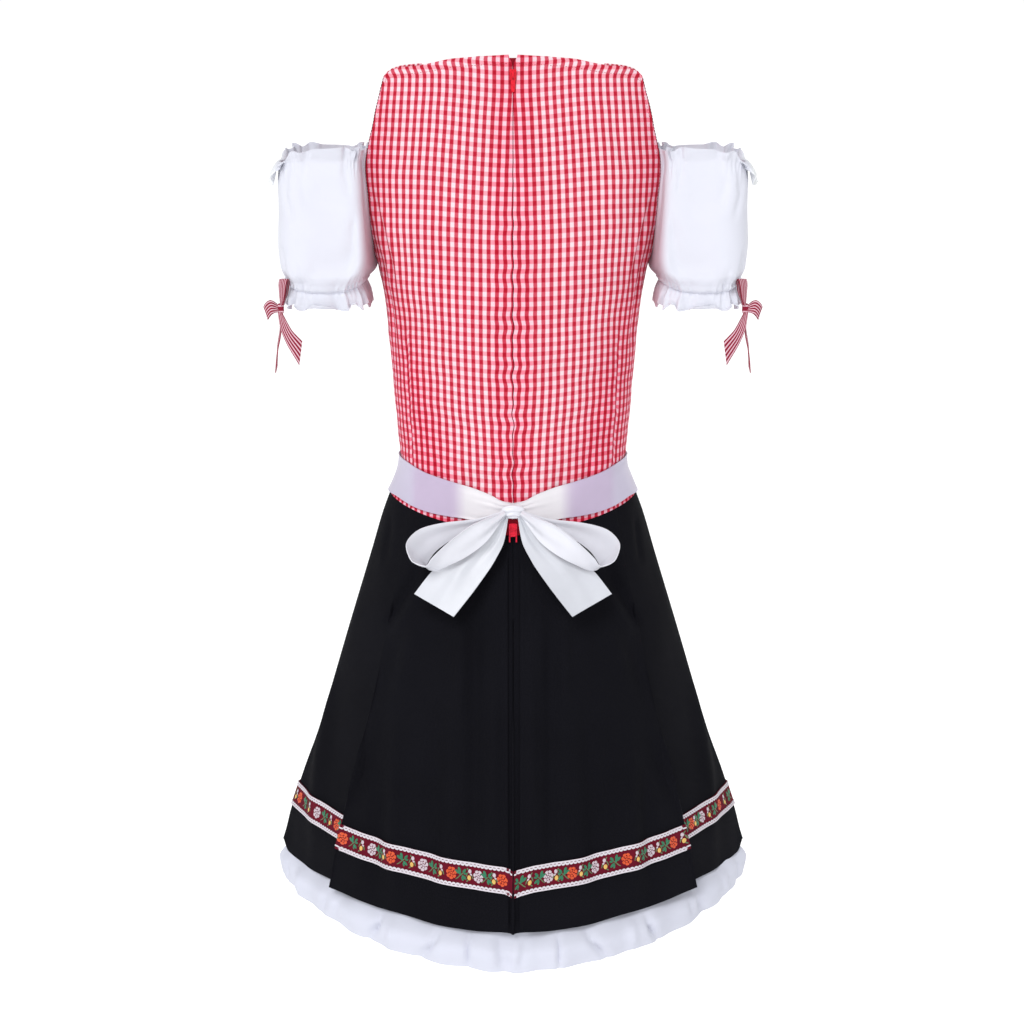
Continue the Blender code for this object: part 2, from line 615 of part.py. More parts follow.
def add_bodice_fronts(material):
    """Each half of the front. Its inner columns stop at the neckline, and its strap goes on to the
    back."""
    shares = [side_share(z, STRAP_START_Z) for z in (*SIDE_ROWS, STRAP_START_Z)]
    up, across = grid(shares, BACK_COLUMNS[:1] + BACK_COLUMNS[2:])
    height = mix(waist_z(90 * across, WAIST_DIP_FRONT), neck_z(across), up)
    body = bodice_front(across, height)
    rolled = STRAP_START_Z + STRAP_ARCH * np.arange(1, STRAP_ROLL_ROWS + 1) / STRAP_ROLL_ROWS
    strap_height, strap_across = grid(rolled, across[0])
    strap = bodice_front(strap_across, strap_height)
    seam = strap[-1:] - (0, 0, STRAP_LIFT)
    half = np.concatenate([body, strap, seam])
    half[:, 0, 0] = SEAM_GAP
    present = np.ones((len(half) - 1, half.shape[1] - 1), bool)
    inner = (across[0][1:] + across[0][:-1]) / 2 < NECK_EDGE
    present[len(body) - 1:, inner] = False
    right = half[:, ::-1]
    add_wall("bodice_front_left", mirrored(right), BODICE_WALL, material,
             present=present, seams=(CENTRE_SEAM, None))
    add_wall("bodice_front_right", right, BODICE_WALL, material,
             present=present[:, ::-1], seams=(None, CENTRE_SEAM))


# ------------------------------------------------------------------ skirt, woven ribbon, frill


def skirt_height():
    return WAIST_SIDE_Z - HEM_SIDE_Z


def trim_rows():
    low = TRIM_ABOVE_HEM / skirt_height()
    return low, low + TRIM_HEIGHT / skirt_height()


def skirt_panels(rows):
    """Each skirt panel's name, its grid of points at the given shares of its height, and the axes
    that its first and last columns' seams face."""
    up, across = grid(rows, [row.across for row in SKIRT_PLAN])
    back = skirt(across, up)
    back[:, 0, 0] = SEAM_GAP
    front = skirt(across, up, front=True)
    whole_front = np.concatenate([front[:, ::-1], (front * (-1, 1, 1))[:, 1:]], axis=1)
    yield "back_left", mirrored(back), (SIDE_SEAM, CENTRE_SEAM)
    yield "back_right", back, (CENTRE_SEAM, SIDE_SEAM)
    yield "front", whole_front, (SIDE_SEAM, SIDE_SEAM)


def add_skirt(cloth, woven):
    low, high = trim_rows()
    rows = (0.0, low, high, *SKIRT_ROWS_ABOVE_TRIM)
    for name, points, seams in skirt_panels(rows):
        add_wall(f"skirt_{name}", points, SKIRT_WALL, cloth, seams=seams)
    for name, points, seams in skirt_panels((low, high)):
        add_wall(f"trim_{name}", points, TRIM_WALL, woven, lift=SEAM_GAP, seams=seams)


def add_petticoat(material):
    count = PETTICOAT_WAVES * COLUMNS_PER_WAVE + 1
    low, high = PETTICOAT[0].z, PETTICOAT[-1].z
    rows = [(row.z - low) / (high - low) for row in PETTICOAT]
    up, across = grid(rows, np.linspace(-1, 1, count))
    seams = (SIDE_SEAM, SIDE_SEAM)
    back = petticoat(across, up)
    add_wall("petticoat_back", back, PETTICOAT_WALL, material, seams=seams)
    front = petticoat(across, up, front=True)[:, ::-1]
    add_wall("petticoat_front", front, PETTICOAT_WALL, material, seams=seams)


# ------------------------------------------------------------------ sleeves


def add_sleeves(material):
    tube = np.linspace(-SLEEVE_TUBE_SHARE, SLEEVE_TUBE_SHARE, 2 * SLEEVE_WAVES + 1)
    bridge = np.linspace(SLEEVE_TUBE_SHARE, 1, SLEEVE_BRIDGE_COLUMNS + 1)[1:]
    columns = np.concatenate([-bridge[::-1], tube, bridge])
    z, across = grid([row.z for row in SLEEVE], columns)
    points = sleeve(across, z)
    for side in (LEFT, RIGHT):
        name = f"sleeve_{SIDE_NAMES[side]}"
        add_wall(name, on_side(points, side), SLEEVE_WALL, material)


def from_bow_knot(stations):
    """Stations given as out, back and up from the cuff bow's knot, in the part's frame."""
    x, y, z = BOW_KNOT
    return [
        Edges(x + s.ax, y - s.ay, z + s.az, x + s.bx, y - s.by, z + s.bz) for s in stations
    ]


def add_ribbon(name, stations, rows, side, material, columns=2):
    along, across = grid(np.linspace(0, 1, rows), np.linspace(0, 1, columns))
    points = ribbon(stations, along, across)
    add_wall(name, on_side(points, side), RIBBON_WALL, material)


def add_knot(name, centre, half, material):
    """A tied knot, as a squashed and softened block."""
    bpy.ops.mesh.primitive_uv_sphere_add(segments=12, ring_count=8, radius=1)
    obj = bpy.context.object
    obj.name = obj.data.name = name
    obj.data.transform(((half[0], 0, 0, 0), (0, half[1], 0, 0), (0, 0, half[2], 0), (0, 0, 0, 1)))
    obj.location = centre
    obj.data.materials.append(material)
    return obj


def add_sleeve_bows(material):
    for side in (LEFT, RIGHT):
        label = SIDE_NAMES[side]
        centre = (side * BOW_KNOT[0], BOW_KNOT[1], BOW_KNOT[2])
        add_knot(f"sleeve_bow_knot_{label}", centre, BOW_KNOT_HALF, material)
        for name, stations, rows in (
            ("loop_up", BOW_LOOP_UP, 10),
            ("loop_out", BOW_LOOP_OUT, 10),
            ("tail_wide", BOW_TAIL_WIDE, 5),
            ("tail_thin", BOW_TAIL_THIN, 5),
        ):
            full_name = f"sleeve_bow_{name}_{label}"
            add_ribbon(full_name, from_bow_knot(stations), rows, side, material)


# ------------------------------------------------------------------ sash


def sash_back_y(z):
    """The sash's outer face at the centre back."""
    return float(back_y(z)) - SASH_CLEARANCE - RIBBON_WALL


def add_sash(material):
    columns = np.arange(SASH_COLUMNS) * 360 / SASH_COLUMNS
    up, degrees = grid(np.linspace(0, 1, SASH_ROWS), columns)
    add_wall("sash_band", sash(degrees, up), RIBBON_WALL, material, ring=True)
    knot_y = sash_back_y(KNOT_CENTRE_Z) - KNOT_HALF[1] - SEAM_GAP
    add_knot("sash_knot", (0, knot_y, KNOT_CENTRE_Z), KNOT_HALF, material)
    for side in (LEFT, RIGHT):
        label = SIDE_NAMES[side]
        add_ribbon(f"sash_loop_{label}", SASH_LOOP, 21, side, material, columns=4)
        add_ribbon(f"sash_tail_{label}", SASH_TAIL, 9, side, material, columns=4)


# ------------------------------------------------------------------ zip


def back_y(z):
    """The outer face of the bodice or the skirt beside the centre back."""
    return -read(FORM, "z", "back", np.asarray(z, float))


def add_zip_tape(material):
    """The tape behind the back opening, from the neckline to the waist."""
    heights = np.linspace(*ZIP_TAPE_ENDS_Z, ZIP_TAPE_ROWS)
    z, x = grid(heights, (-ZIP_TAPE_HALF, 0.0, ZIP_TAPE_HALF))
    points = stack(x, back_y(z) + ZIP_TAPE_BEHIND, z)
    add_wall("zip_tape", points, ZIP_TAPE_WALL, material)


def add_zip_end(tape, moulded):
    """The zip's lower end, which comes out under the knot and lies on the skirt."""
    z, x = grid((ZIP_END_TOP_Z - ZIP_END_HEIGHT, ZIP_END_TOP_Z), (-ZIP_END_HALF, ZIP_END_HALF))
    points = stack(x, back_y(z) - SEAM_GAP - ZIP_TAPE_WALL, z)
    add_wall("zip_end_tape", points, ZIP_TAPE_WALL, tape)
    middle = ZIP_END_TOP_Z - ZIP_STOP_MIDDLE
    face = float(back_y(middle)) - SEAM_GAP - ZIP_TAPE_WALL
    low, high = middle - ZIP_STOP_SIZE[2] / 2, middle + ZIP_STOP_SIZE[2] / 2
    slope = float(back_y(high) - back_y(low)) / (high - low)
    centre = (0, face - ZIP_STOP_SIZE[1] / 2 - 2 * SEAM_GAP, middle)
    add_box("zip_end_stop", centre, ZIP_STOP_SIZE, moulded, tilt=-np.arctan(slope))


def slider_face_y():
    """The slider plate's outer face."""
    return float(back_y(SLIDER_Z)) - 2 * SEAM_GAP - SLIDER_PLATE[1]


def hinge_y():
    return slider_face_y() - (SLIDER_POST[1] / 2)


def box_vertices(centre, size):
    """The corners of a block, and its faces."""
    signs = [(x, y, z) for x in (-1, 1) for y in (-1, 1) for z in (-1, 1)]
    corners = [tuple(c + s * d / 2 for c, s, d in zip(centre, sign, size)) for sign in signs]
    faces = [(0, 1, 3, 2), (4, 6, 7, 5), (0, 4, 5, 1), (2, 3, 7, 6), (0, 2, 6, 4), (1, 5, 7, 3)]
    return corners, faces


def add_slider(material):
    """The slider: a plate, and a bridge on two posts that holds the pull."""
    bodies = []
    plate_y = slider_face_y() + SLIDER_PLATE[1] / 2
    bodies.append(((0, plate_y, SLIDER_Z), SLIDER_PLATE))
    post_depth = SLIDER_POST[1] + 2 * SLIDER_SUNK
    for sign in (-1, 1):
        centre = (0, slider_face_y() - SLIDER_POST[1] / 2, SLIDER_Z + sign * SLIDER_POST_OFFSET)
        bodies.append((centre, (SLIDER_POST[0], post_depth, SLIDER_POST[2])))
    bar_y = slider_face_y() - SLIDER_POST[1] - SLIDER_BAR[1] / 2
    bar = (SLIDER_BAR[0] + 2 * SLIDER_SUNK, SLIDER_BAR[1], SLIDER_BAR[2])
    bodies.append(((0, bar_y, SLIDER_Z), bar))
    base = None
    for k, (centre, size) in enumerate(bodies):
        corners, faces = box_vertices(centre, size)
        piece = add_mesh("zip_slider" if k == 0 else f"slider_piece_{k}", corners, faces, material)
        if base is None:
            base = piece
            continue
        piece.hide_render = True
        piece.display_type = "WIRE"
        union = base.modifiers.new(f"join {k}", "BOOLEAN")
        union.operation = "UNION"
        union.object = piece
    return base


def add_pull(material):
    """The pull: a plate with an eye round the slider's bridge, hanging from its hinge."""
    hinge = bpy.data.objects.new("pull_hinge", None)
    hinge.location = (0, hinge_y(), SLIDER_Z)
    bpy.context.scene.collection.objects.link(hinge)
    eye_width, eye_length = PULL_EYE
    top = PULL_RIM / 2
    eye_bottom = top - PULL_RIM - eye_length
    bottom = top - PULL_LENGTH
    half, tip = PULL_WIDTH / 2, PULL_TIP_WIDTH / 2
    side = [
        (half - PULL_CORNER, top), (half, top - PULL_CORNER), (half, eye_bottom),
        (half, bottom + PULL_TAPER), (tip, bottom + PULL_CORNER), (tip - PULL_CORNER, bottom),
    ]
    outline = side + [(-x, z) for x, z in reversed(side)]
    eye = [
        (-eye_width / 2, top - PULL_RIM), (eye_width / 2, top - PULL_RIM),
        (eye_width / 2, eye_bottom), (-eye_width / 2, eye_bottom),
    ]
    plate = add_plate("zip_pull", outline, PULL_THICKNESS, material)
    cutter = add_plate("pull_eye_cutter", eye, 3 * PULL_THICKNESS, material)
    cutter.hide_render = True
    cutter.display_type = "WIRE"
    cut = plate.modifiers.new("eye", "BOOLEAN")
    cut.operation = "DIFFERENCE"
    cut.object = cutter
    plate.parent = cutter.parent = hinge


def add_plate(name, outline, thickness, material):
    """A flat plate in the XZ plane, from an outline that runs clockwise seen from the back."""
    count = len(outline)
    rear = [(x, -thickness / 2, z) for x, z in outline]
    front = [(x, thickness / 2, z) for x, z in outline]
    faces = [tuple(reversed(range(count))), tuple(range(count, 2 * count))]
    for k in range(count):
        following = (k + 1) % count
        faces.append((k, following, count + following, count + k))
    return add_mesh(name, rear + front, faces, material)


# ------------------------------------------------------------------ the dress


def clear_scene():
    for obj in list(bpy.data.objects):
        bpy.data.objects.remove(obj)


def main():
    clear_scene()
    gingham = add_material("red gingham", (0.72, 0.13, 0.17), 0.8)
    white = add_material("white cotton", (0.86, 0.86, 0.90), 0.85)
    satin = add_material("white satin", (0.85, 0.84, 0.90), 0.35)
    black = add_material("black twill", (0.012, 0.013, 0.018), 0.8)
    woven = add_material("woven flower ribbon", (0.30, 0.05, 0.07), 0.7)
    ribbon_cloth = add_material("striped ribbon", (0.70, 0.15, 0.20), 0.7)
    tape = add_material("red zip tape", (0.50, 0.01, 0.03), 0.8)
    enamel = add_material("red enamelled metal", (0.75, 0.02, 0.04), 0.35)
    add_bodice_backs(gingham)
    add_bodice_fronts(gingham)
    add_sleeves(white)
    add_sleeve_bows(ribbon_cloth)
    add_skirt(black, woven)
    add_petticoat(white)
    add_sash(satin)
    add_zip_tape(tape)
    add_zip_end(tape, enamel)
    add_slider(enamel)
    add_pull(enamel)


main()
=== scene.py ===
from collections import namedtuple
from math import pi, radians

import bpy
import numpy as np
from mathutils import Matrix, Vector


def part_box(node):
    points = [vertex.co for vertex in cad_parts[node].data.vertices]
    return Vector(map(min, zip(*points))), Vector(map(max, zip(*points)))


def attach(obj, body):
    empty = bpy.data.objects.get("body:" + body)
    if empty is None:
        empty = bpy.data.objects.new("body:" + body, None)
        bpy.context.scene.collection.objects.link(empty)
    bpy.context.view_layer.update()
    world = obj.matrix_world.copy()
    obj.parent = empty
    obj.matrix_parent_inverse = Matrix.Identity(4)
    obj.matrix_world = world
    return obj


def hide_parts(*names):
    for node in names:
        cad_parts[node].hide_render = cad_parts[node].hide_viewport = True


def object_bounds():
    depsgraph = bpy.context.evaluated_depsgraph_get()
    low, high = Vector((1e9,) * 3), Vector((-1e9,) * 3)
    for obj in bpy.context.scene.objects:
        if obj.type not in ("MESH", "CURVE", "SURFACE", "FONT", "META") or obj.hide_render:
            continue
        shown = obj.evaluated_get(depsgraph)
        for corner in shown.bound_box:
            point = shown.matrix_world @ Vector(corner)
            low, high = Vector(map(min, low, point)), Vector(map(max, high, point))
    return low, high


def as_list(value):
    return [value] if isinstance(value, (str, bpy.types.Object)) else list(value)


# The looks of a dirndl dress. The cloth is built again from the same form as the solids, finer and
# with its folds, gathers, weave, lace and stitches. Metres: +X is the wearer's right, +Y the front.

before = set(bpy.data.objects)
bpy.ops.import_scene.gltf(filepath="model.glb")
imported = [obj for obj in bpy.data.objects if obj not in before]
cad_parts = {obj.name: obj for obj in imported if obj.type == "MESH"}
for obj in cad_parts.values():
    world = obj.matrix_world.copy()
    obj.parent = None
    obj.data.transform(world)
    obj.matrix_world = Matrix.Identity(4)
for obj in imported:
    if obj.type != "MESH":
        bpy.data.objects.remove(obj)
cad_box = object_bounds()

# ---------- the form, as in the solids


def table(columns, *rows):
    """Rows of numbers under named columns. The first column holds the places they belong to."""
    kind = namedtuple("Row", columns)
    return tuple(kind(*row) for row in rows)


SEAM_GAP = 0.0003
BODICE_WALL = 0.0014
SKIRT_WALL = 0.0014
SLEEVE_WALL = 0.0010
PETTICOAT_WALL = 0.0010
RIBBON_WALL = 0.0010
TRIM_WALL = 0.0012
SIDE_INSET_DEG = 0.04

FORM = table(
    "z half_width back front roundness",
    (-0.875, 0.264, 0.24, 0.227, 1.64), (-0.822, 0.2475, 0.2215, 0.212, 1.64),
    (-0.7, 0.2072, 0.177, 0.17, 1.7), (-0.58, 0.171, 0.134, 0.132, 1.8),
    (-0.5, 0.1465, 0.1065, 0.106, 1.92), (-0.46, 0.1345, 0.0925, 0.0945, 2.0),
    (-0.438, 0.1265, 0.088, 0.0895, 2.0), (-0.405, 0.1155, 0.0835, 0.0845, 2.0),
    (-0.37, 0.1182, 0.0838, 0.0865, 2.0), (-0.32, 0.122, 0.0872, 0.0945, 2.0),
    (-0.26, 0.127, 0.0938, 0.1125, 2.0), (-0.235, 0.1298, 0.0955, 0.119, 2.0),
    (-0.205, 0.1358, 0.0961, 0.1225, 2.0), (-0.18, 0.1425, 0.0955, 0.1215, 2.0),
    (-0.14, 0.151, 0.0885, 0.111, 2.0), (-0.1, 0.1572, 0.079, 0.097, 2.0),
    (-0.06, 0.1545, 0.068, 0.081, 2.0), (-0.02, 0.147, 0.0595, 0.064, 2.0),
    (0.01, 0.141, 0.055, 0.05, 2.0),
)

ARMHOLE = table(
    "z back_deg front_deg",
    (-0.205, 90.0, 90.0), (-0.18, 77.3, 74.0), (-0.14, 70.0, 66.0), (-0.1, 66.0, 60.5),
    (-0.06, 61.0, 57.5), (-0.02, 58.4, 57.0),
)
UNDERARM_Z = ARMHOLE[0].z
WAIST_SIDE_Z = -0.438
WAIST_DIP_BACK = 0.021
WAIST_DIP_FRONT = 0.010
# The back's top edge, at shares of the way from the zip to the armhole.
BACK_TOP = table(
    "across z",
    (0.0, 0.0), (0.2, -0.0016), (0.4, -0.0038), (0.5, -0.0062), (0.6, -0.0086),
    (0.7, -0.0099), (0.8, -0.011), (0.9, -0.0137), (0.96, -0.017), (1.0, -0.0215),
)
STRAP_RISE = 0.0095
BACK_OPENING_HALF = 0.0004
ZIP_FOLD_DEPTH = 0.0012
ZIP_FOLD_WIDTH = 0.0030
NECK_EDGE = 0.64
NECK_DEPTH_Z = -0.130
NECK_CURVE = 2.4
STRAP_START_Z = -0.050
STRAP_ARCH = 0.017
STRAP_LIFT = 0.0010
HEM_SIDE_Z = -0.822
HEM_DIP_BACK = 0.010
HEM_DIP_FRONT = 0.006

SKIRT_PLAN = table(
    "across hem_deg hem_reach waist_deg waist_reach",
    (0.0, 0.0, 1.0, 0.0, 0.985), (0.05, 2.2, 0.992, 4.0, 0.985), (0.11, 6.5, 0.984, 8.5, 0.998),
    (0.2, 14.0, 0.974, 16.0, 1.0), (0.29, 22.0, 0.986, 24.0, 1.0), (0.38, 31.0, 0.972, 32.0, 0.999),
    (0.47, 40.0, 0.986, 41.0, 1.0), (0.55, 47.5, 0.984, 48.0, 1.0), (0.61, 52.0, 0.99, 52.0, 1.0),
    (0.64, 50.6, 0.952, 53.6, 0.985), (0.68, 53.5, 0.938, 56.5, 0.982),
    (0.76, 62.0, 0.932, 64.0, 0.99), (0.84, 71.0, 0.938, 73.0, 0.995),
    (0.92, 80.5, 0.968, 81.0, 0.998), (1.0, 90.0, 1.0, 90.0, 1.0),
)
FRONT_CENTRE_REACH = 0.985
FRONT_CENTRE = 0.15
TRIM_ABOVE_HEM = 0.0340
TRIM_HEIGHT = 0.0250

PETTICOAT = table(
    "z form_z inset wave fullness",
    (-0.861, -0.825, -0.0022, 0.0016, 1.0), (-0.841, -0.837, -0.0018, 0.0015, 0.8),
    (-0.824, -0.824, 0.0046, 0.002, 0.0), (-0.808, -0.808, 0.0056, 0.0024, 0.0),
    (-0.78, -0.78, 0.005, 0.0018, 0.0), (-0.748, -0.748, 0.0034, 0.0003, 0.0),
)
PETTICOAT_PLAN = table(
    "deg inner hem",
    (0.0, 0.984, 0.992), (14.0, 0.962, 1.004), (22.0, 0.968, 1.01), (31.0, 0.958, 1.004),
    (40.0, 0.96, 0.995), (46.0, 0.946, 0.984), (51.0, 0.918, 0.974), (56.0, 0.912, 0.967),
    (64.0, 0.912, 0.962), (72.0, 0.922, 0.963), (81.0, 0.952, 0.974), (90.0, 0.985, 0.992),
)
PETTICOAT_WAVES = 15
PETTICOAT_UNEVEN = 0.5
PETTICOAT_UNEVEN_WAVES = 5
SEAM_FADE = 12

SLEEVE = table(
    "z centre half_width half_depth wave",
    (-0.243, 0.1845, 0.0425, 0.054, 0.0042), (-0.232, 0.185, 0.0415, 0.051, 0.0028),
    (-0.2215, 0.1865, 0.039, 0.047, 0.001), (UNDERARM_Z, 0.1885, 0.0436, 0.056, 0.0012),
    (-0.186, 0.1895, 0.0445, 0.0585, 0.0008), (-0.163, 0.1902, 0.0435, 0.059, 0.0006),
    (-0.14, 0.1907, 0.0426, 0.058, 0.0008), (-0.121, 0.1908, 0.0421, 0.056, 0.0012),
    (-0.103, 0.1906, 0.0406, 0.0525, 0.0014), (-0.089, 0.1905, 0.0425, 0.0545, 0.0034),
)
CUFF_ELASTIC_Z = SLEEVE[2].z
TOP_ELASTIC_Z = SLEEVE[-2].z
SLEEVE_ROUNDNESS = 3.2
SLEEVE_INNER_ROUNDNESS = 8.0
SLEEVE_INNER = 1.06          # how much further the sleeve reaches towards the body than away
SLEEVE_WAVES = 16
SLEEVE_UNEVEN_WAVES = 23
SLEEVE_SMALL_WAVES = 41
FRILL_WAVES = 11
FRILL_WAVE = 0.0022          # how far the frill's edge and the cuff's go up and down
CUFF_WAVE = 0.0034
ELASTIC_LUMPS = 44
SLEEVE_TUBE_SHARE = 0.88
SLEEVE_RECESS = 0.007
SLEEVE_OPEN_DEG = 148.0
SLEEVE_CLOSED_DEG = 172.0
UNDERARM_SEAM_HALF = 0.0012
SLEEVE_CLOSING_Z = -0.163
SLEEVE_CLOSING_HEIGHT = 0.0585
UNDERARM_SEAM_HEIGHT = 0.0165
RECESS_SKEW = 0.6
FRILL_DROOP = 0.036
FRILL_FLARE = 0.0074
FRILL_SPREAD = 0.20
FRILL_TURN = 0.11             # how far towards the back it droops most
CUFF_SAG = 0.0085            # the cuff's elastic hangs lower at the front and back

SASH = table(
    "deg middle_z half_height",
    (0.0, -0.4392, 0.0062), (5.0, -0.4388, 0.008), (11.0, -0.437, 0.0125), (24.0, -0.4345, 0.0178),
    (45.0, -0.429, 0.0195), (70.0, -0.4205, 0.0195), (90.0, -0.4176, 0.019), (135.0, -0.419, 0.019),
    (180.0, -0.42, 0.019),
)
SASH_CLEARANCE = 0.0010
SASH_KNOT_SHARES = (1.55, 0.76, 0.98)
SASH_KNOT_FORWARD = -0.0014
SASH_RISE = 0.0042           # the back's lower edge leaves this much of the bodice in sight

# Ribbons, station by station along them: x, y, z of one edge, then x, y, z of the other.
SASH_LOOP = (
    (0.0088, -0.0988, -0.4372, 0.0084, -0.0984, -0.4425),
    (0.0379, -0.101, -0.4455, 0.036, -0.0995, -0.458),
    (0.0674, -0.103, -0.4486, 0.0605, -0.101, -0.4668),
    (0.0929, -0.107, -0.4552, 0.079, -0.103, -0.4812),
    (0.1044, -0.115, -0.4684, 0.0852, -0.1072, -0.4915),
    (0.0983, -0.123, -0.4825, 0.0815, -0.112, -0.494),
    (0.086, -0.129, -0.4858, 0.0752, -0.1165, -0.493),
    (0.0793, -0.132, -0.4775, 0.0642, -0.12, -0.4876),
    (0.0617, -0.13, -0.461, 0.0514, -0.12, -0.4815),
    (0.0365, -0.122, -0.4446, 0.0299, -0.1165, -0.4674),
    (0.0088, -0.1004, -0.438, 0.0086, -0.1, -0.443),
)
SASH_TAIL = (
    (0.0088, -0.099, -0.4405, 0.0046, -0.0996, -0.444),
    (0.03, -0.1065, -0.46, 0.0085, -0.109, -0.465),
    (0.056, -0.1095, -0.4768, 0.0175, -0.1165, -0.483),
    (0.079, -0.112, -0.495, 0.0357, -0.127, -0.508),
    (0.0974, -0.117, -0.5175, 0.0581, -0.137, -0.5352),
)

BOW_KNOT = (0.2310, -0.0345, -0.2460)    # the bow's own tables are measured from it
BOW_LOOP_UP = (
    (0.0004, 0.002, 0.0038, -0.003, 0.0048, 0.0038), (0.0004, 0.0052, 0.014, -0.006, 0.0105, 0.014),
    (0.0006, 0.006, 0.0235, -0.0078, 0.0128, 0.0235),
    (-0.0004, 0.0044, 0.0292, -0.009, 0.0105, 0.0292),
    (-0.0012, 0.0022, 0.0275, -0.0098, 0.008, 0.0275),
    (-0.0014, 0.0012, 0.018, -0.0086, 0.006, 0.018),
    (-0.001, 0.0002, 0.0038, -0.0042, 0.0026, 0.0038),
)
BOW_LOOP_OUT = (
    (0.0018, 0.001, 0.0032, 0.0018, 0.002, -0.0032),
    (0.0095, 0.0035, 0.0088, 0.0085, 0.005, -0.005), (0.015, 0.002, 0.0052, 0.012, 0.0045, -0.0088),
    (0.0172, -0.002, 0.001, 0.0138, 0.0005, -0.0112),
    (0.015, -0.0055, 0.0035, 0.0118, -0.0032, -0.0092),
    (0.0092, -0.004, 0.0076, 0.0082, -0.002, -0.0056),
    (0.0018, -0.0016, 0.0032, 0.0018, -0.0006, -0.0032),
)
BOW_TAIL_WIDE = (
    (-0.0012, 0.0024, -0.003, 0.0024, 0.0018, -0.0032), (-0.006, 0.005, -0.012, 0.0, 0.003, -0.019),
    (-0.011, 0.006, -0.0205, -0.0052, 0.004, -0.0335),
    (-0.0215, 0.007, -0.0318, -0.0176, 0.005, -0.056),
)
BOW_TAIL_THIN = (
    (0.0012, -0.0022, -0.003, 0.0004, 0.0004, -0.0034),
    (0.002, -0.0075, -0.02, 0.0014, 0.001, -0.024), (0.0058, -0.0085, -0.04, 0.0046, 0.003, -0.043),
    (0.007, -0.008, -0.059, 0.0064, 0.0045, -0.064),
)

LEFT, RIGHT = -1, 1
SIDES = ((LEFT, "left"), (RIGHT, "right"))
MIRROR = np.array((-1, 1, 1))

# ---------- the folds

# Soft troughs (negative depth) and ridges: s0, z0, s1, z1, width, depth, bow. s is the distance
# from the centre along the cloth, width is half of the fold's, and its middle bows sideways.
BODICE_CREASES = (
    (0.152, -0.128, 0.132, -0.236, 0.005, -0.0024, 0.004),
    (0.144, -0.134, 0.126, -0.222, 0.0045, 0.0016, 0.003),
    (0.158, -0.176, 0.14, -0.3, 0.0055, -0.002, 0.003),
    (0.02, -0.286, 0.098, -0.318, 0.013, -0.0014, 0.006),
    (0.03, -0.368, 0.104, -0.35, 0.011, -0.0013, -0.005),
    (0.016, -0.404, 0.082, -0.428, 0.008, -0.0014, 0.003),
    (0.05, -0.462, 0.044, -0.392, 0.006, -0.0014, 0.002),
    (0.084, -0.458, 0.08, -0.382, 0.006, -0.0015, -0.002),
    (0.022, -0.052, 0.09, -0.066, 0.01, -0.001, 0.004),
    (0.1, -0.04, 0.118, -0.11, 0.008, -0.001, 0.003),
    (-0.006, -0.015, 0.04, 0.0, 0.0022, -0.0015, 0.002),
)
ZIP_PUCKERS = {
    RIGHT: (
        (0.0, -0.346, 0.016, -0.35, 0.0034, -0.0011, 0.001),
        (0.0, -0.366, 0.021, -0.373, 0.0038, -0.0016, 0.001),
        (0.0, -0.387, 0.018, -0.391, 0.0036, -0.0014, 0.0),
        (0.0, -0.404, 0.024, -0.414, 0.004, -0.0018, 0.001),
        (0.0, -0.425, 0.019, -0.431, 0.0036, -0.0015, 0.0),
        (0.0, -0.443, 0.022, -0.449, 0.0036, -0.0014, 0.001),
        (0.0, -0.238, 0.015, -0.243, 0.0045, -0.0009, 0.0),
        (0.0, -0.128, 0.014, -0.131, 0.005, -0.0008, 0.0),
    ),
    LEFT: (
        (0.0, -0.072, 0.016, -0.077, 0.0045, -0.001, 0.0),
        (0.0, -0.184, 0.015, -0.188, 0.005, -0.0009, 0.0),
        (0.0, -0.298, 0.016, -0.303, 0.0045, -0.001, 0.001),
        (0.0, -0.381, 0.014, -0.385, 0.0038, -0.0012, 0.0),
        (0.0, -0.418, 0.015, -0.424, 0.0038, -0.0012, 0.0),
    ),
}
BODICE_FRONT_CREASES = (
    (0.158, -0.166, 0.128, -0.3, 0.006, -0.0018, 0.004),
    (0.04, -0.3, 0.11, -0.335, 0.012, -0.0013, 0.006),
    (0.03, -0.402, 0.11, -0.42, 0.009, -0.0014, 0.004),
    (0.082, -0.236, 0.07, -0.43, 0.004, -0.0012, 0.004),
    (0.01, -0.15, 0.07, -0.132, 0.008, -0.0009, -0.003),
)
SKIRT_CREASES = (
    (0.096, -0.492, 0.156, -0.566, 0.006, -0.0034, 0.004),
    (0.086, -0.5, 0.142, -0.58, 0.007, 0.0024, 0.004),
    (0.092, -0.53, 0.186, -0.7, 0.012, 0.0036, 0.006),
    (0.118, -0.56, 0.204, -0.76, 0.013, -0.004, 0.005),
    (0.053, -0.52, 0.056, -0.64, 0.007, 0.0026, 0.002),
    (0.036, -0.5, 0.038, -0.8, 0.008, -0.0034, -0.002),
    (0.019, -0.585, 0.02, -0.745, 0.006, 0.0022, 0.001),
    (0.08, -0.6, 0.094, -0.832, 0.013, -0.004, 0.003),
    (0.15, -0.69, 0.16, -0.832, 0.013, -0.0034, 0.003),
    (0.126, -0.64, 0.13, -0.832, 0.012, 0.003, -0.003),
    (0.262, -0.56, 0.3, -0.832, 0.015, 0.0036, 0.004),
    (0.236, -0.47, 0.262, -0.6, 0.008, -0.002, 0.002),
    (0.022, -0.462, 0.03, -0.51, 0.005, -0.0012, 0.0),
    (0.064, -0.462, 0.074, -0.52, 0.006, -0.0014, 0.001),
    (0.15, -0.452, 0.16, -0.51, 0.007, -0.0016, 0.001),
)
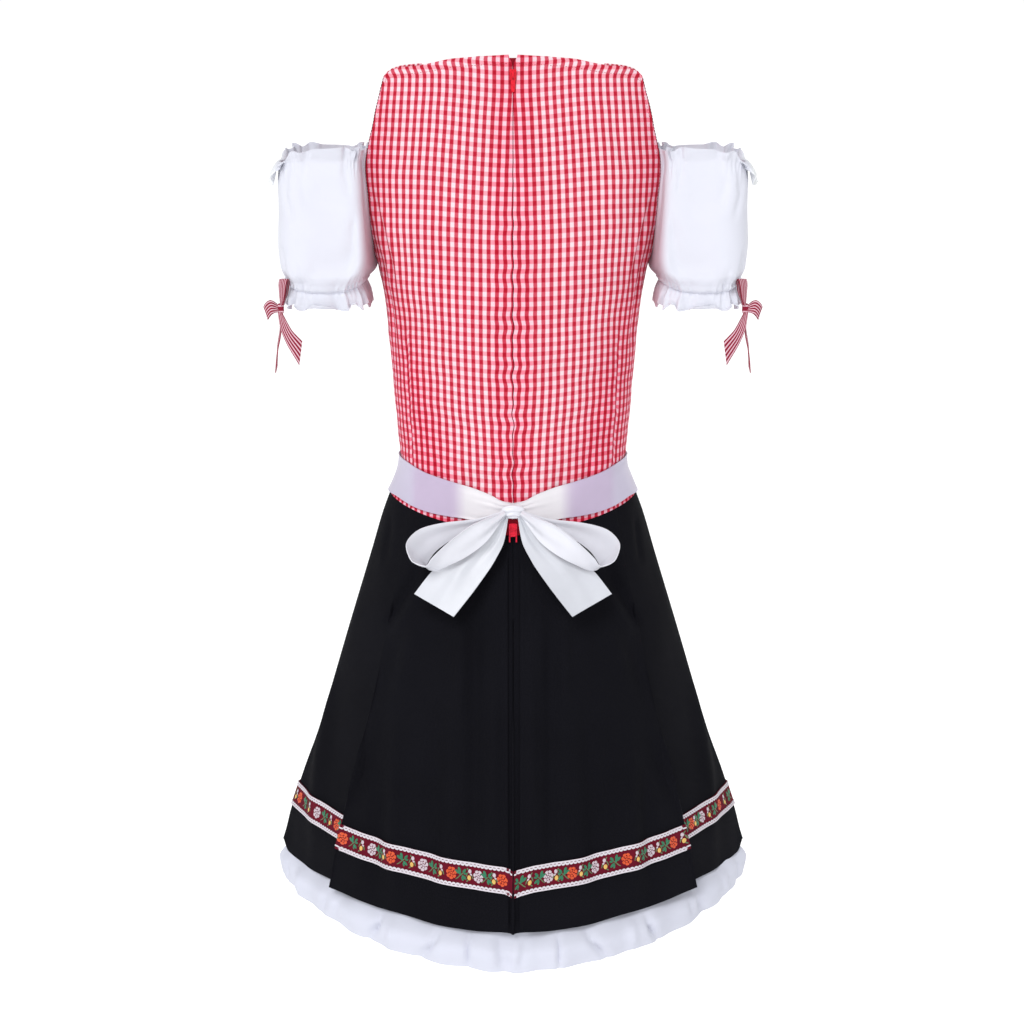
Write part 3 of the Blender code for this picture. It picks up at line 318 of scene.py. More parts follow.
# On a sleeve, s is a tenth of a metre for half of the way round, from the outermost line.
SLEEVE_CREASES = (
    (0.026, -0.112, 0.04, -0.16, 0.004, -0.002, 0.001),
    (0.032, -0.104, 0.034, -0.132, 0.003, -0.0014, 0.0),
    (0.046, -0.106, 0.052, -0.15, 0.004, -0.0018, 0.001),
    (0.06, -0.104, 0.062, -0.135, 0.003, -0.0014, 0.001),
    (0.068, -0.15, 0.046, -0.215, 0.0055, -0.0026, -0.002),
    (0.058, -0.186, 0.03, -0.22, 0.0045, -0.0018, -0.001),
    (0.018, -0.222, 0.022, -0.182, 0.0035, -0.0018, 0.001),
    (0.034, -0.224, 0.038, -0.196, 0.003, -0.0014, 0.0),
    (0.012, -0.12, 0.016, -0.2, 0.0045, -0.0016, 0.002),
)
PETTICOAT_CREASES = (
    (0.133, -0.806, 0.184, -0.896, 0.0036, -0.0052, 0.002),
    (0.056, -0.806, 0.112, -0.882, 0.0034, -0.0058, 0.002),
    (0.046, -0.812, 0.047, -0.9, 0.0024, -0.004, 0.0),
    (0.018, -0.822, 0.008, -0.876, 0.006, -0.004, 0.002),
    (0.128, -0.83, 0.136, -0.876, 0.006, 0.0036, 0.001),
    (0.146, -0.82, 0.158, -0.86, 0.004, -0.003, 0.001),
    (0.21, -0.82, 0.224, -0.86, 0.004, -0.0028, 0.001),
    (0.232, -0.815, 0.25, -0.874, 0.006, -0.0044, 0.002),
    (0.29, -0.815, 0.3, -0.872, 0.007, 0.0036, 0.001),
    (0.33, -0.812, 0.338, -0.872, 0.005, -0.0036, 0.001),
)

# How the checks lie on the back: the row at a height at the centre, how many rows lower they hang
# there than at the sides, the column that meets the zip on each side, and the columns by which
# the side is gathered.
CHECKS = table(
    "z row droop left right side",
    (0.01, 5.7, 0.66, 1.22, 1.42, 0.4), (-0.03, 10.5, 0.7, 1.2, 1.4, 0.25),
    (-0.06, 14.0, 0.78, 1.0, 1.2, 0.15), (-0.1, 18.6, 0.74, 0.8, 1.0, -0.2),
    (-0.14, 23.1, 0.58, 0.62, 0.85, -0.45), (-0.18, 27.5, 0.4, 0.54, 0.76, -0.65),
    (-0.22, 31.9, 0.36, 0.55, 0.8, -0.95), (-0.26, 36.3, 0.42, 0.5, 0.75, -0.35),
    (-0.3, 40.8, 0.56, 0.52, 0.74, -0.3), (-0.34, 45.4, 0.72, 0.7, 0.92, -0.35),
    (-0.38, 50.1, 0.8, 0.98, 1.2, -0.45), (-0.42, 54.9, 0.5, 1.08, 1.34, -0.55),
    (-0.47, 60.8, 0.3, 1.2, 1.5, -0.6),
)
CHECK_DROOP_ACROSS = 0.55

# ---------- sizes of the finish

BACK_COLUMNS_FINE, BACK_ROWS_FINE = 88, 170
FRONT_COLUMNS_FINE, FRONT_ROWS_FINE, STRAP_ROWS_FINE = 70, 120, 24
SKIRT_COLUMNS_FINE, SKIRT_ROWS_FINE = 120, 110
PLEAT_COLUMNS = 26
CENTRE_COLUMNS = 24
TRIM_ROWS = 9
PETTICOAT_COLUMNS_FINE, PETTICOAT_ROWS_FINE = 300, 34
SLEEVE_COLUMNS_FINE, SLEEVE_ROWS_FINE = 230, 72
SASH_COLUMNS_FINE, SASH_ROWS_FINE = 260, 18
SASH_LOOP_FINE, SASH_TAIL_FINE = (110, 24), (70, 30)
BOW_LOOP_FINE, BOW_TAIL_FINE = (48, 12), (36, 12)
KNOT_FINE = (33, 64)
PETTICOAT_CLOTH = 0.12       # the height that a whole piece takes up in its weave's places
SASH_CLOTH = 0.038

CHECK_WIDTH = 0.00775        # one repeat of the gingham, across and along the cloth
CHECK_HEIGHT = 0.00895
RIBBON_STRIPE = 0.0034
RIBBON_STRIPES = 5
NECK_HEM = 0.0085            # the neckline's turned edge
HEM_STEP = 0.0005
ARMHOLE_HEM = 0.0055
ZIP_OPEN_TOP = 0.0150        # the panels part over this height above the slider
ZIP_OPEN_WIDTH = 0.0040
SIDE_SEAM_S = 0.114          # the back's shaping seam, from the centre, below SIDE_SEAM_TOP
SIDE_SEAM_TOP = -0.250
SKIRT_CREASE_DEPTH = 1.35
CENTRE_SAG = 0.0032          # the skirt's centre seam sags above the hem
SAG_WIDTH = {LEFT: 0.0075, RIGHT: 0.021}
HEM_LIFT = 0.0024            # and the hem is flat there
HEM_DROP = 0.0034            # the hem hangs this much lower beside the centre
SIDE_HEM_DROP = 0.0060       # and lower still between the pleat and the side
TRIM_RISES = (0.0028, 0.0056)    # the border sits higher: on the back, and beyond the pleat
PLEAT_FOLD = 0.612           # where across a panel the pleat folds, and where it lies under
PLEAT_UNDER = 0.632
PLEAT_REACH = (0.0045, 0.0036)   # how far the pleat's fold reaches over, to the side and forward
FOLD_HALF = {LEFT: 0.0056, RIGHT: 0.0075}    # the sunken strip below the zip
FLOOR_DROP = 0.55
FLOOR_SIZE = 200.0
SUN_ANGLE = 25
LIGHTS_AIM = (0.0, 0.0, -0.40)
SKY = ((0.15, 1.02), (0.60, 0.50))   # white by the sine of the height, from the horizon up
IMAGE_WIDTH = 1024
FOCAL_PIXELS = 1981
CAMERA_BACK = 2.0
CAMERA_PITCH = 13


# ---------- reading the tables


def smooth(xs, ys, at):
    """A smooth curve through the points (xs, ys), with no overshoot, read at any places."""
    xs, ys, at = (np.asarray(values, float) for values in (xs, ys, at))
    steps = np.diff(xs)
    slopes = np.diff(ys) / steps
    before, after = slopes[:-1], slopes[1:]
    turning = before * after <= 0
    inner = 2 * before * after / np.where(turning, 1.0, before + after)
    tangents = np.concatenate([slopes[:1], np.where(turning, 0.0, inner), slopes[-1:]])
    at = np.clip(at, xs[0], xs[-1])
    i = np.clip(np.searchsorted(xs, at, side="right") - 1, 0, len(xs) - 2)
    t = (at - xs[i]) / steps[i]
    rise = ys[i] + (ys[i + 1] - ys[i]) * t * t * (3 - 2 * t)
    return rise + steps[i] * t * (1 - t) * (tangents[i] * (1 - t) - tangents[i + 1] * t)


def read(rows, name, at):
    """One column of a table, read smoothly at those places."""
    rows = sorted(rows)
    return smooth([row[0] for row in rows], [getattr(row, name) for row in rows], at)


def read_all(rows, at):
    """Every column of a table, read smoothly at those places."""
    return type(rows[0])(*(read(rows, name, at) for name in rows[0]._fields))


def mix(a, b, t):
    return a + (b - a) * t


def ease(t):
    t = np.clip(t, 0.0, 1.0)
    return t * t * (3 - 2 * t)


def bell(distance, width):
    return np.exp(-((distance / width) ** 2))


def shares(count):
    return np.linspace(0, 1, count)


def grid(rows, columns):
    return np.meshgrid(rows, columns, indexing="ij")


def stack(x, y, z):
    return np.stack(np.broadcast_arrays(x, y, z), axis=-1)


def on_form(degrees, z, reach=1.0, front=False, form_z=None, inset=0.0):
    """A point of the form's right half, by degrees from the centre back or the centre front."""
    level = z if form_z is None else form_z
    power = 2 / read(FORM, "roundness", level)
    angle = np.radians(degrees)
    depth = read(FORM, "front" if front else "back", level) - inset
    x = (read(FORM, "half_width", level) - inset) * reach * np.sin(angle) ** power
    y = np.maximum(depth * reach * np.clip(np.cos(angle), 0.0, 1.0) ** power, SEAM_GAP)
    return stack(x, y if front else -y, z)


# ---------- surfaces, as in the solids


def waist_z(degrees, dip):
    return WAIST_SIDE_Z - dip * np.cos(np.radians(degrees)) ** 2


def zip_parting(z):
    """How far each panel's edge stands from the closed zip's line, above the slider."""
    return ZIP_OPEN_WIDTH * ease(1 + z / ZIP_OPEN_TOP) ** 2


def bodice_back(across, up):
    z = mix(waist_z(90 * across, WAIST_DIP_BACK), read(BACK_TOP, "z", across), up)
    edge = read(ARMHOLE, "back_deg", z) - SIDE_INSET_DEG
    opening = BACK_OPENING_HALF + zip_parting(z)
    start = np.degrees(opening / read(FORM, "half_width", z))
    point = on_form(mix(start, edge, across), z)
    point[..., 1] += ZIP_FOLD_DEPTH * bell(point[..., 0], ZIP_FOLD_WIDTH)
    return point


def bodice_front(across, height):
    z = np.minimum(height, STRAP_START_Z)
    edge = read(ARMHOLE, "front_deg", z) - SIDE_INSET_DEG
    chest = on_form(across * edge, z, front=True)
    seam = bodice_back(across, np.ones_like(across)) + (0, 0, STRAP_LIFT + SEAM_GAP)
    along = np.clip((height - STRAP_START_Z) / STRAP_ARCH, 0.0, 1.0)
    swing = (1 - np.cos(pi * along)) / 2
    x = mix(chest[..., 0], seam[..., 0], along)
    y = mix(chest[..., 1], seam[..., 1], swing)
    z = mix(chest[..., 2], seam[..., 2], along) + STRAP_RISE * np.sin(pi * along)
    return stack(x, y, z)


def neck_z(across):
    share = np.clip(across / NECK_EDGE, 0.0, 1.0)
    return STRAP_START_Z - (STRAP_START_Z - NECK_DEPTH_Z) * (1 - share**NECK_CURVE)


def skirt(across, up, front=False):
    plan = read_all(SKIRT_PLAN, across)
    hem = HEM_SIDE_Z - (HEM_DIP_FRONT if front else HEM_DIP_BACK) * (1 - across) ** 2
    dip = WAIST_DIP_FRONT if front else WAIST_DIP_BACK
    z = mix(hem, waist_z(plan.waist_deg, dip) - 2 * SEAM_GAP, up)
    degrees = mix(plan.hem_deg, plan.waist_deg, up)
    reach = mix(plan.hem_reach, plan.waist_reach, up)
    if front:
        reach = mix(reach, np.minimum(reach, FRONT_CENTRE_REACH), ease(1 - across / FRONT_CENTRE))
    return on_form(degrees * (1 - SIDE_INSET_DEG / 45), z, reach, front)


def petticoat(across, up, front=False):
    z = mix(PETTICOAT[0].z, PETTICOAT[-1].z, up)
    row = read_all(PETTICOAT, z)
    degrees = np.abs(across) * (90 - SIDE_INSET_DEG)
    plan = read_all(PETTICOAT_PLAN, degrees)
    reach = mix(plan.inner, plan.hem, row.fullness)
    point = on_form(degrees, z, reach, front, row.form_z, row.inset)
    point[..., 0] *= np.sign(across)
    phase = pi * PETTICOAT_WAVES * across
    phase = phase + PETTICOAT_UNEVEN * np.sin(PETTICOAT_UNEVEN_WAVES * across)
    swell = row.wave * np.sin(phase) * (1 - across**SEAM_FADE)
    outward = point[..., :2] / np.linalg.norm(point[..., :2], axis=-1, keepdims=True)
    point[..., :2] += outward * swell[..., None]
    point[..., 2] -= (HEM_DIP_FRONT if front else HEM_DIP_BACK) * (1 - np.abs(across)) ** 2
    return point


def armhole_edge(z, front):
    name = "front_deg" if front else "back_deg"
    sewn = np.maximum(z, UNDERARM_Z)
    edge = on_form(read(ARMHOLE, name, sewn) - SIDE_INSET_DEG, sewn, front=front)
    row = read_all(SLEEVE, z)
    below = ease((UNDERARM_Z - z) / UNDERARM_SEAM_HEIGHT)
    seam_x = row.centre - row.half_width
    edge[..., 0] = mix(edge[..., 0] + 2 * SEAM_GAP, seam_x, below)
    edge[..., 1] = np.where(
        front,
        np.maximum(edge[..., 1] * (1 - below), UNDERARM_SEAM_HALF),
        np.minimum(edge[..., 1] * (1 - below), -UNDERARM_SEAM_HALF),
    )
    edge[..., 2] = z
    return edge


def gathers(around, z):
    """The sleeve's fine folds: crowded at its elastics, gone in the puff, none two alike."""
    row_wave = read(SLEEVE, "wave", z)
    even = np.cos(pi * SLEEVE_WAVES * around + 1.1 * np.sin(6 * around))
    uneven_wave = np.cos(pi * SLEEVE_UNEVEN_WAVES * around + 1.3 * np.sin(7 * around))
    small = np.cos(pi * SLEEVE_SMALL_WAVES * around + 2.1 * np.sin(5 * around))
    near = np.maximum(bell(z - CUFF_ELASTIC_Z, 0.011), 0.5 * bell(z - TOP_ELASTIC_Z, 0.010))
    outside = ease((CUFF_ELASTIC_Z - z) / 0.006) + ease((z - TOP_ELASTIC_Z) / 0.006)
    folds = row_wave * (0.55 * even + 0.45 * uneven_wave) * np.maximum(near, outside)
    return folds + 0.0006 * small * near


def sleeve(across, z):
    """The right sleeve, from the armhole's back (across -1) round the arm to its front (1)."""
    row = read_all(SLEEVE, z)
    closed = ease((SLEEVE_CLOSING_Z - z) / SLEEVE_CLOSING_HEIGHT)
    round_by = np.clip(across / SLEEVE_TUBE_SHARE, -1.0, 1.0)
    sag = CUFF_SAG * np.sin(pi * np.abs(round_by)) ** 2 * ease((UNDERARM_Z + 0.02 - z) / 0.02)
    sag = sag * ease((z - SLEEVE[0].z) / 0.008)
    angle = np.radians(mix(SLEEVE_OPEN_DEG, SLEEVE_CLOSED_DEG, closed)) * round_by
    inner_side = (np.abs(angle) > pi / 2) * ease((z - CUFF_ELASTIC_Z) / 0.03)
    power = 2 / mix(SLEEVE_ROUNDNESS, SLEEVE_INNER_ROUNDNESS, inner_side)
    swell = gathers(round_by, z) * (1 - round_by**SEAM_FADE)
    out = np.sign(np.cos(angle)) * np.abs(np.cos(angle)) ** power
    forward = np.sign(angle) * np.abs(np.sin(angle)) ** power
    reach = row.half_width * mix(1.0, SLEEVE_INNER, inner_side)
    x = row.centre + (reach + swell) * out
    y = (row.half_depth + swell) * forward
    frill = (z - SLEEVE[-2].z) / (SLEEVE[-1].z - SLEEVE[-2].z)
    frill = np.clip(frill, 0, 1)
    flop = bell(across + FRILL_TURN, FRILL_SPREAD)
    cuff = ease((SLEEVE[1].z - z) / (SLEEVE[1].z - SLEEVE[0].z))
    turns = pi * FRILL_WAVES * round_by
    edge_wave = FRILL_WAVE * np.sin(turns + 2 * np.sin(4 * round_by)) * ease(frill)
    edge_wave = edge_wave + CUFF_WAVE * np.sin(turns + np.sin(6 * round_by)) * cuff
    lip = z - FRILL_DROOP * flop * frill**1.15 + edge_wave - sag
    tube = stack(x + FRILL_FLARE * flop * frill**0.7, y, lip)
    bridge = np.clip((np.abs(across) - SLEEVE_TUBE_SHARE) / (1 - SLEEVE_TUBE_SHARE), 0, 1)
    front = np.broadcast_to(across > 0, z.shape)
    edge = np.where(front[..., None], armhole_edge(z, True), armhole_edge(z, False))
    joined = mix(tube, edge, bridge[..., None])
    recess = SLEEVE_RECESS * (1 - closed) * np.sin(pi * bridge**RECESS_SKEW) ** 2
    joined[..., 1] -= np.sign(across) * recess
    return joined


def sash(degrees, up):
    folded = 180 - np.abs(180 - degrees % 360)
    band = read_all(SASH, folded)
    raised = SASH_RISE * ease((folded - 12) / 12) * ease((88 - folded) / 25)
    z = band.middle_z + band.half_height * (2 * up - 1) + raised * (1 - up)
    back = folded <= 90
    offset = -(SASH_CLEARANCE * (1 - 0.8 * ease((up - 0.75) / 0.25)) + RIBBON_WALL)
    behind = on_form(np.minimum(folded, 90.0), z, inset=offset)
    ahead = on_form(np.clip(180 - folded, 0.0, 90.0), z, front=True, inset=offset)
    point = np.where(back[..., None], behind, ahead)
    point[..., 0] *= np.where(degrees % 360 > 180, -1.0, 1.0)
    return point


def ribbon(stations, along, across):
    places = shares(len(stations))
    ends = [smooth(places, column, along) for column in np.transpose(stations)]
    return mix(stack(*ends[:3]), stack(*ends[3:]), across[..., None])


# ---------- cloth


def arc(points):
    """How far along its row each point of a grid is, from the first column."""
    steps = np.linalg.norm(np.diff(points, axis=1), axis=-1)
    return np.concatenate([np.zeros((len(points), 1)), np.cumsum(steps, axis=1)], axis=1)


def arc_up(points):
    """How far along its column each point of a grid is, from the first row."""
    return arc(points.swapaxes(0, 1)).T


def normals(points):
    normal = np.cross(np.gradient(points, axis=1), np.gradient(points, axis=0))
    return normal / np.maximum(np.linalg.norm(normal, axis=-1, keepdims=True), 1e-12)


def creased(s, z, creases):
    """How far soft creases move the cloth out at places (s, z)."""
    total = np.zeros(np.broadcast(s, z).shape)
    for s0, z0, s1, z1, width, depth, bow in creases:
        run, rise = s1 - s0, z1 - z0
        length = (run * run + rise * rise) ** 0.5
        along = ((s - s0) * run + (z - z0) * rise) / length**2
        off = ((s - s0) * rise - (z - z0) * run) / length - 4 * bow * along * (1 - along)
        fade = ease((along + 0.05) / 0.35) * ease((1.05 - along) / 0.35)
        total += depth * bell(off, width) * fade
    return total


def uneven(s, z, size, seed):
    """A gentle swell of about that size, from -1 to 1, always the same for a seed."""
    chance = np.random.default_rng(seed)
    total = np.zeros(np.broadcast(s, z).shape)
    for _ in range(7):
        turn, phase = chance.uniform(0, pi), chance.uniform(0, 2 * pi)
        stretch = chance.uniform(0.7, 1.5)
        place = s * np.cos(turn) + z * np.sin(turn)
        total += np.sin(2 * pi * place / (size * stretch) + phase)
    return total / 7


def moved_out(points, amount):
    return points + normals(points) * np.asarray(amount)[..., None]


def cell_corners(rows, columns):
    """The four corners of every cell of a grid of points, in order round it."""
    index = np.arange(rows * columns).reshape(rows, columns)
    return index[:-1, :-1], index[:-1, 1:], index[1:, 1:], index[1:, :-1]


def wall_quads(rows, columns, present):
    """Quads of a thin closed wall over the present cells: outer face, inner face and edges."""
    count = rows * columns
    corners = cell_corners(rows, columns)
    outer = np.stack(corners, axis=-1)[present]
    quads = [outer, outer[:, ::-1] + count]
    padded = np.pad(present, 1)
    beyond = (padded[:-2, 1:-1], padded[1:-1, 2:], padded[2:, 1:-1], padded[1:-1, :-2])
    for k in range(4):
        at_edge = present & ~beyond[k]
        p, q = corners[k][at_edge], corners[(k + 1) % 4][at_edge]
        quads.append(np.stack([q, p, p + count, q + count], axis=-1))
    return np.concatenate(quads)


def place(name, data):
    obj = bpy.data.objects.new(name, data)
    bpy.context.scene.collection.objects.link(obj)
    return obj


def add_mesh(name, vertices, quads, material, uv, sharp_angle=50):
    """A mesh of quads. A quad that ends on its first corner is a triangle."""
    used, quads = np.unique(quads, return_inverse=True)
    faces = [q[:3] if q[0] == q[3] else q for q in quads.reshape(-1, 4).tolist()]
    mesh = bpy.data.meshes.new(name)
    mesh.from_pydata(vertices[used].tolist(), [], faces)
    corners = [corner for face in faces for corner in face]
    layer = mesh.uv_layers.new(name="cloth")
    layer.data.foreach_set("uv", uv[used][corners].astype(np.float32).ravel())
    mesh.materials.append(material)
    mesh.shade_smooth()
    if sharp_angle:
        mesh.set_sharp_from_angle(angle=radians(sharp_angle))
    return place(name, mesh)


def add_cloth(name, points, wall, material, uv, present=None, lift=0.0):
    """A thin cloth wall whose outer face is the grid of points, or lies over it by lift."""
    rows, columns = points.shape[:2]
    if present is None:
        present = np.ones((rows - 1, columns - 1), bool)
    normal = normals(points)
    outer = points + (lift + wall if lift else 0.0) * normal
    both = np.concatenate([outer.reshape(-1, 3), (outer - wall * normal).reshape(-1, 3)])
    places = np.tile(np.stack(np.broadcast_arrays(*uv), axis=-1).reshape(-1, 2), (2, 1))
    return add_mesh(name, both, wall_quads(rows, columns, present), material, places)


def mirrored(points):
    return (points * MIRROR)[:, ::-1]


def on_side(side, points, u, *others):
    """A right piece's points, places along the cloth and other values, turned over for the left."""
    if side == RIGHT:
        return points, u, *others
    return mirrored(points), -u[:, ::-1], *(values[:, ::-1] for values in others)


def cut_of(points, present=None):
    """The flat width, length and area of a grid of cloth."""
    a, b = points[1:, 1:] - points[:-1, :-1], points[1:, :-1] - points[:-1, 1:]
    cells = np.linalg.norm(np.cross(a, b), axis=-1) / 2
    area = (cells if present is None else cells[present]).sum()
    width = arc(points)[:, -1].max()
    length = arc_up(points)[-1].max()
    return float(width), float(length), float(area)


def dress_piece(obj, nodes, slot, points=None, held="hung", rests_on=(), present=None, go_with=()):
    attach(obj, "dress")
    if nodes:
        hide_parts(*nodes)
    if points is None:
        return obj
    width, length, area = cut_of(points, present)
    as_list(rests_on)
    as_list(go_with)
    return obj


def lay_cloth(node, points, uv, wall, cloth, slot, held, present=None, lift=0.0, **more):
    """A cloth piece that stands for one of the solids."""
    obj = add_cloth(f"cloth_{node}", points, wall, cloth, uv, present, lift)
    dress_piece(obj, [node], slot, points, held, present=present, **more)


# ---------- materials


class Looks:
    """One procedural material, built node by node. Its colours are linear."""

    def __init__(self, name, roughness, **inputs):
        self.material = bpy.data.materials.new(name)
        self.material.use_nodes = True
        self.tree = self.material.node_tree
        self.shader = self.tree.nodes["Principled BSDF"]
        self.set(Roughness=roughness, **inputs)
        uv = self.tree.nodes.new("ShaderNodeUVMap")
        uv.uv_map = "cloth"
        self.uv = uv.outputs[0]
        self.u, self.v = self.axis(self.uv, 0), self.axis(self.uv, 1)
        self.place = self.tree.nodes.new("ShaderNodeTexCoord").outputs["Object"]

    def set(self, **inputs):
        for name, value in inputs.items():
            self.shader.inputs[name.replace("_", " ")].default_value = value

    def link(self, value, socket):
        if isinstance(value, bpy.types.NodeSocket):
            self.tree.links.new(value, socket)
        else:
            socket.default_value = (*value, 1) if isinstance(value, tuple) else value

    def maths(self, operation, *values):
        node = self.tree.nodes.new("ShaderNodeMath")
        node.operation = operation
        for value, socket in zip(values, node.inputs):
            self.link(value, socket)
        return node.outputs[0]

    def axis(self, vector, index):
        split = self.tree.nodes.new("ShaderNodeSeparateXYZ")
        self.link(vector, split.inputs[0])
        return split.outputs[index]

    def wave(self, value, period, phase=0.0):
        """A sine of that period, from 0 to 1."""
        turned = self.maths("MULTIPLY_ADD", value, 2 * pi / period, phase)
        return self.maths("MULTIPLY_ADD", self.maths("SINE", turned), 0.5, 0.5)

    def stripe(self, value, period, sharpness, phase=0.0, share=0.5):
        """0 or 1 by turns, with soft edges."""
        centred = self.maths("SUBTRACT", self.wave(value, period, phase), 1 - share)
        steep = self.maths("MULTIPLY_ADD", centred, sharpness, 0.5)
        return self.maths("MAXIMUM", self.maths("MINIMUM", steep, 1.0), 0.0)

    def noise(self, vector, scale, detail=2.0):
        node = self.tree.nodes.new("ShaderNodeTexNoise")
        self.link(vector, node.inputs["Vector"])
        node.inputs["Scale"].default_value = scale
        node.inputs["Detail"].default_value = detail
        return node.outputs["Fac"]

    def stretched(self, vector, scale):
        node = self.tree.nodes.new("ShaderNodeMapping")
        self.link(vector, node.inputs["Vector"])
        node.inputs["Scale"].default_value = scale
        return node.outputs[0]

    def ramp(self, value, *stops):
        node = self.tree.nodes.new("ShaderNodeValToRGB")
        self.link(value, node.inputs[0])
        elements = node.color_ramp.elements
        while len(elements) < len(stops):
            elements.new(0.5)
        for element, (position, colour) in zip(elements, stops):
            element.position = position
            element.color = (*colour, 1)
        return node.outputs[0]

    def blend(self, share, a, b, mode="MIX"):
        node = self.tree.nodes.new("ShaderNodeMix")
        node.data_type = "RGBA"
        node.blend_type = mode
        self.link(share, node.inputs["Factor"])
        for value, index in ((a, 6), (b, 7)):
            self.link(value, node.inputs[index])
        return node.outputs[2]

    def shaded(self, colour, amount, scale, detail=3.0):
        """The colour, a little lighter and darker in soft patches."""
        patches = self.noise(self.place, scale, detail)
        grey = self.ramp(patches, (0.3, (1 - amount,) * 3), (0.7, (1.0,) * 3))
        return self.blend(1.0, colour, grey, "MULTIPLY")

    def weave(self, thread, diagonal=0.0):
        """The height of woven threads, from 0 to 1. diagonal turns plain weave into twill."""
        if diagonal:
            return self.wave(self.maths("MULTIPLY_ADD", self.v, diagonal, self.u), thread)
        over = self.maths("SINE", self.maths("MULTIPLY", self.u, pi / thread))
        under = self.maths("SINE", self.maths("MULTIPLY", self.v, pi / thread))
        return self.maths("MULTIPLY_ADD", self.maths("MULTIPLY", over, under), 0.5, 0.5)

    def finish(self, colour, height=None, depth=0.0001, roughness=None):
        self.link(colour, self.shader.inputs["Base Color"])
        if roughness is not None:
            self.link(roughness, self.shader.inputs["Roughness"])
        if height is not None:
            bump = self.tree.nodes.new("ShaderNodeBump")
            bump.inputs["Strength"].default_value = 0.6
            bump.inputs["Distance"].default_value = depth
            self.link(height, bump.inputs["Height"])
            self.link(bump.outputs[0], self.shader.inputs["Normal"])
        return self.material


# The checks' colours on the flat of the cloth and, darkened by painted shade, beside the zip and
# towards the sides.
CHECK_RED = ((0.425, 0.006, 0.026), (0.360, 0.001, 0.013))
CHECK_COLUMN = ((0.550, 0.068, 0.108), (0.500, 0.016, 0.046))
CHECK_ROW = ((0.790, 0.320, 0.385), (0.785, 0.135, 0.210))
CHECK_WHITE = ((0.800, 0.620, 0.670), (0.800, 0.460, 0.550))
SHADE_SIDE = 0.110            # the painted shade starts this far aside, and from nearer in below this height
SHADE_SIDE_LEAN = 0.28
SHADE_SIDE_Z = -0.17
SHADE_SIDE_WIDTH = 0.030
SHADE_ZIP = 0.024             # and within this of the zip, by at most a share
SHADE_ZIP_WIDTH = 0.012
SHADE_ZIP_SHARE = 0.65


def gingham(name, width, height):
    """Checks of red and white threads. The red shows more in the columns than in the rows. Painted
    shade darkens them towards the sides and beside the zip at the back.
    """
    looks = Looks(name, 0.9, Specular_IOR_Level=0.1, Sheen_Weight=0.04, Sheen_Roughness=0.5)
    threads = looks.weave(0.00042)
    shift = looks.maths("MULTIPLY", looks.maths("SUBTRACT", threads, 0.5), 0.16)
    columns = looks.maths("ADD", looks.stripe(looks.u, width, 3.6, -pi / 2), shift)
    rows = looks.maths("SUBTRACT", looks.stripe(looks.v, height, 3.6, pi / 2), shift)
    aside = looks.maths("ABSOLUTE", looks.axis(looks.place, 0))
    below = looks.maths("SUBTRACT", SHADE_SIDE_Z, looks.axis(looks.place, 2))
    lean = looks.maths("MULTIPLY", looks.maths("MAXIMUM", below, 0.0), SHADE_SIDE_LEAN)
    past = looks.maths("SUBTRACT", looks.maths("ADD", aside, lean), SHADE_SIDE)
    side_shade = looks.maths("DIVIDE", past, SHADE_SIDE_WIDTH)
    zip_shade = looks.maths("DIVIDE", looks.maths("SUBTRACT", SHADE_ZIP, aside), SHADE_ZIP_WIDTH)
    at_back = looks.maths("LESS_THAN", looks.axis(looks.place, 1), 0.0)
    zip_shade = looks.maths("MULTIPLY", looks.maths("MINIMUM", zip_shade, SHADE_ZIP_SHARE), at_back)
    # painted shade: how far the checks turn to their darker colours, towards the sides and by the
    # zip
    deep = looks.maths("MAXIMUM", side_shade, zip_shade)
    red, column, row, white = (
        looks.ramp(deep, *zip((0.0, 1.0), colours))
        for colours in (CHECK_RED, CHECK_COLUMN, CHECK_ROW, CHECK_WHITE)
    )
    pale = looks.blend(rows, white, row)
    strong = looks.blend(rows, column, red)
    checks = looks.blend(columns, pale, strong)
    return looks.finish(looks.shaded(checks, 0.06, 30), threads, 0.00012)


RIBBON_RED = (0.215, 0.003, 0.020)
RIBBON_PINK = (0.430, 0.080, 0.135)
RIBBON_WHITE = (0.720, 0.490, 0.560)


def striped_ribbon(name):
    """Lengthwise dark red and white stripes, crossed by finer bars."""
    looks = Looks(name, 0.85, Specular_IOR_Level=0.15, Sheen_Weight=0.05)
    along = looks.stripe(looks.v, RIBBON_STRIPE, 6.0, pi / 2, share=0.64)
    bars = looks.stripe(looks.u, 0.0011, 2.0)
    level = looks.maths("MULTIPLY_ADD", bars, 0.10, looks.maths("MULTIPLY", along, 0.90))
    stripes = looks.ramp(level, (0.0, RIBBON_WHITE), (0.5, RIBBON_PINK), (1.0, RIBBON_RED))
    return looks.finish(looks.shaded(stripes, 0.08, 60), looks.weave(0.00040), 0.00012)


def white_cotton(name, colour, thread=0.00045, body_shade=None, outside=None):
    """Plain cotton. Close to the red bodice it carries painted shade tinted pink by the bodice's
    reflected red, and at the frills' outer edges a painted lightening.
    """
    looks = Looks(name, 0.9, Specular_IOR_Level=0.15, Sheen_Weight=0.1, Sheen_Roughness=0.5)
    soft = looks.noise(looks.stretched(looks.uv, (220, 60, 1)), 1.0, 3.0)
    height = looks.maths("MULTIPLY_ADD", soft, 0.8, looks.weave(thread))
    if body_shade:
        # painted shade, tinted pink by reflected red, where the sleeve meets the bodice; painted
        # light on the frill's drooping flap farther out
        aside = looks.maths("ABSOLUTE", looks.axis(looks.place, 0))
        colour = looks.ramp(aside, (0.141, body_shade), (0.150, colour), (0.230, colour),
                            (0.236, outside))
    return looks.finish(looks.shaded(colour, 0.035, 22), height, 0.00012)


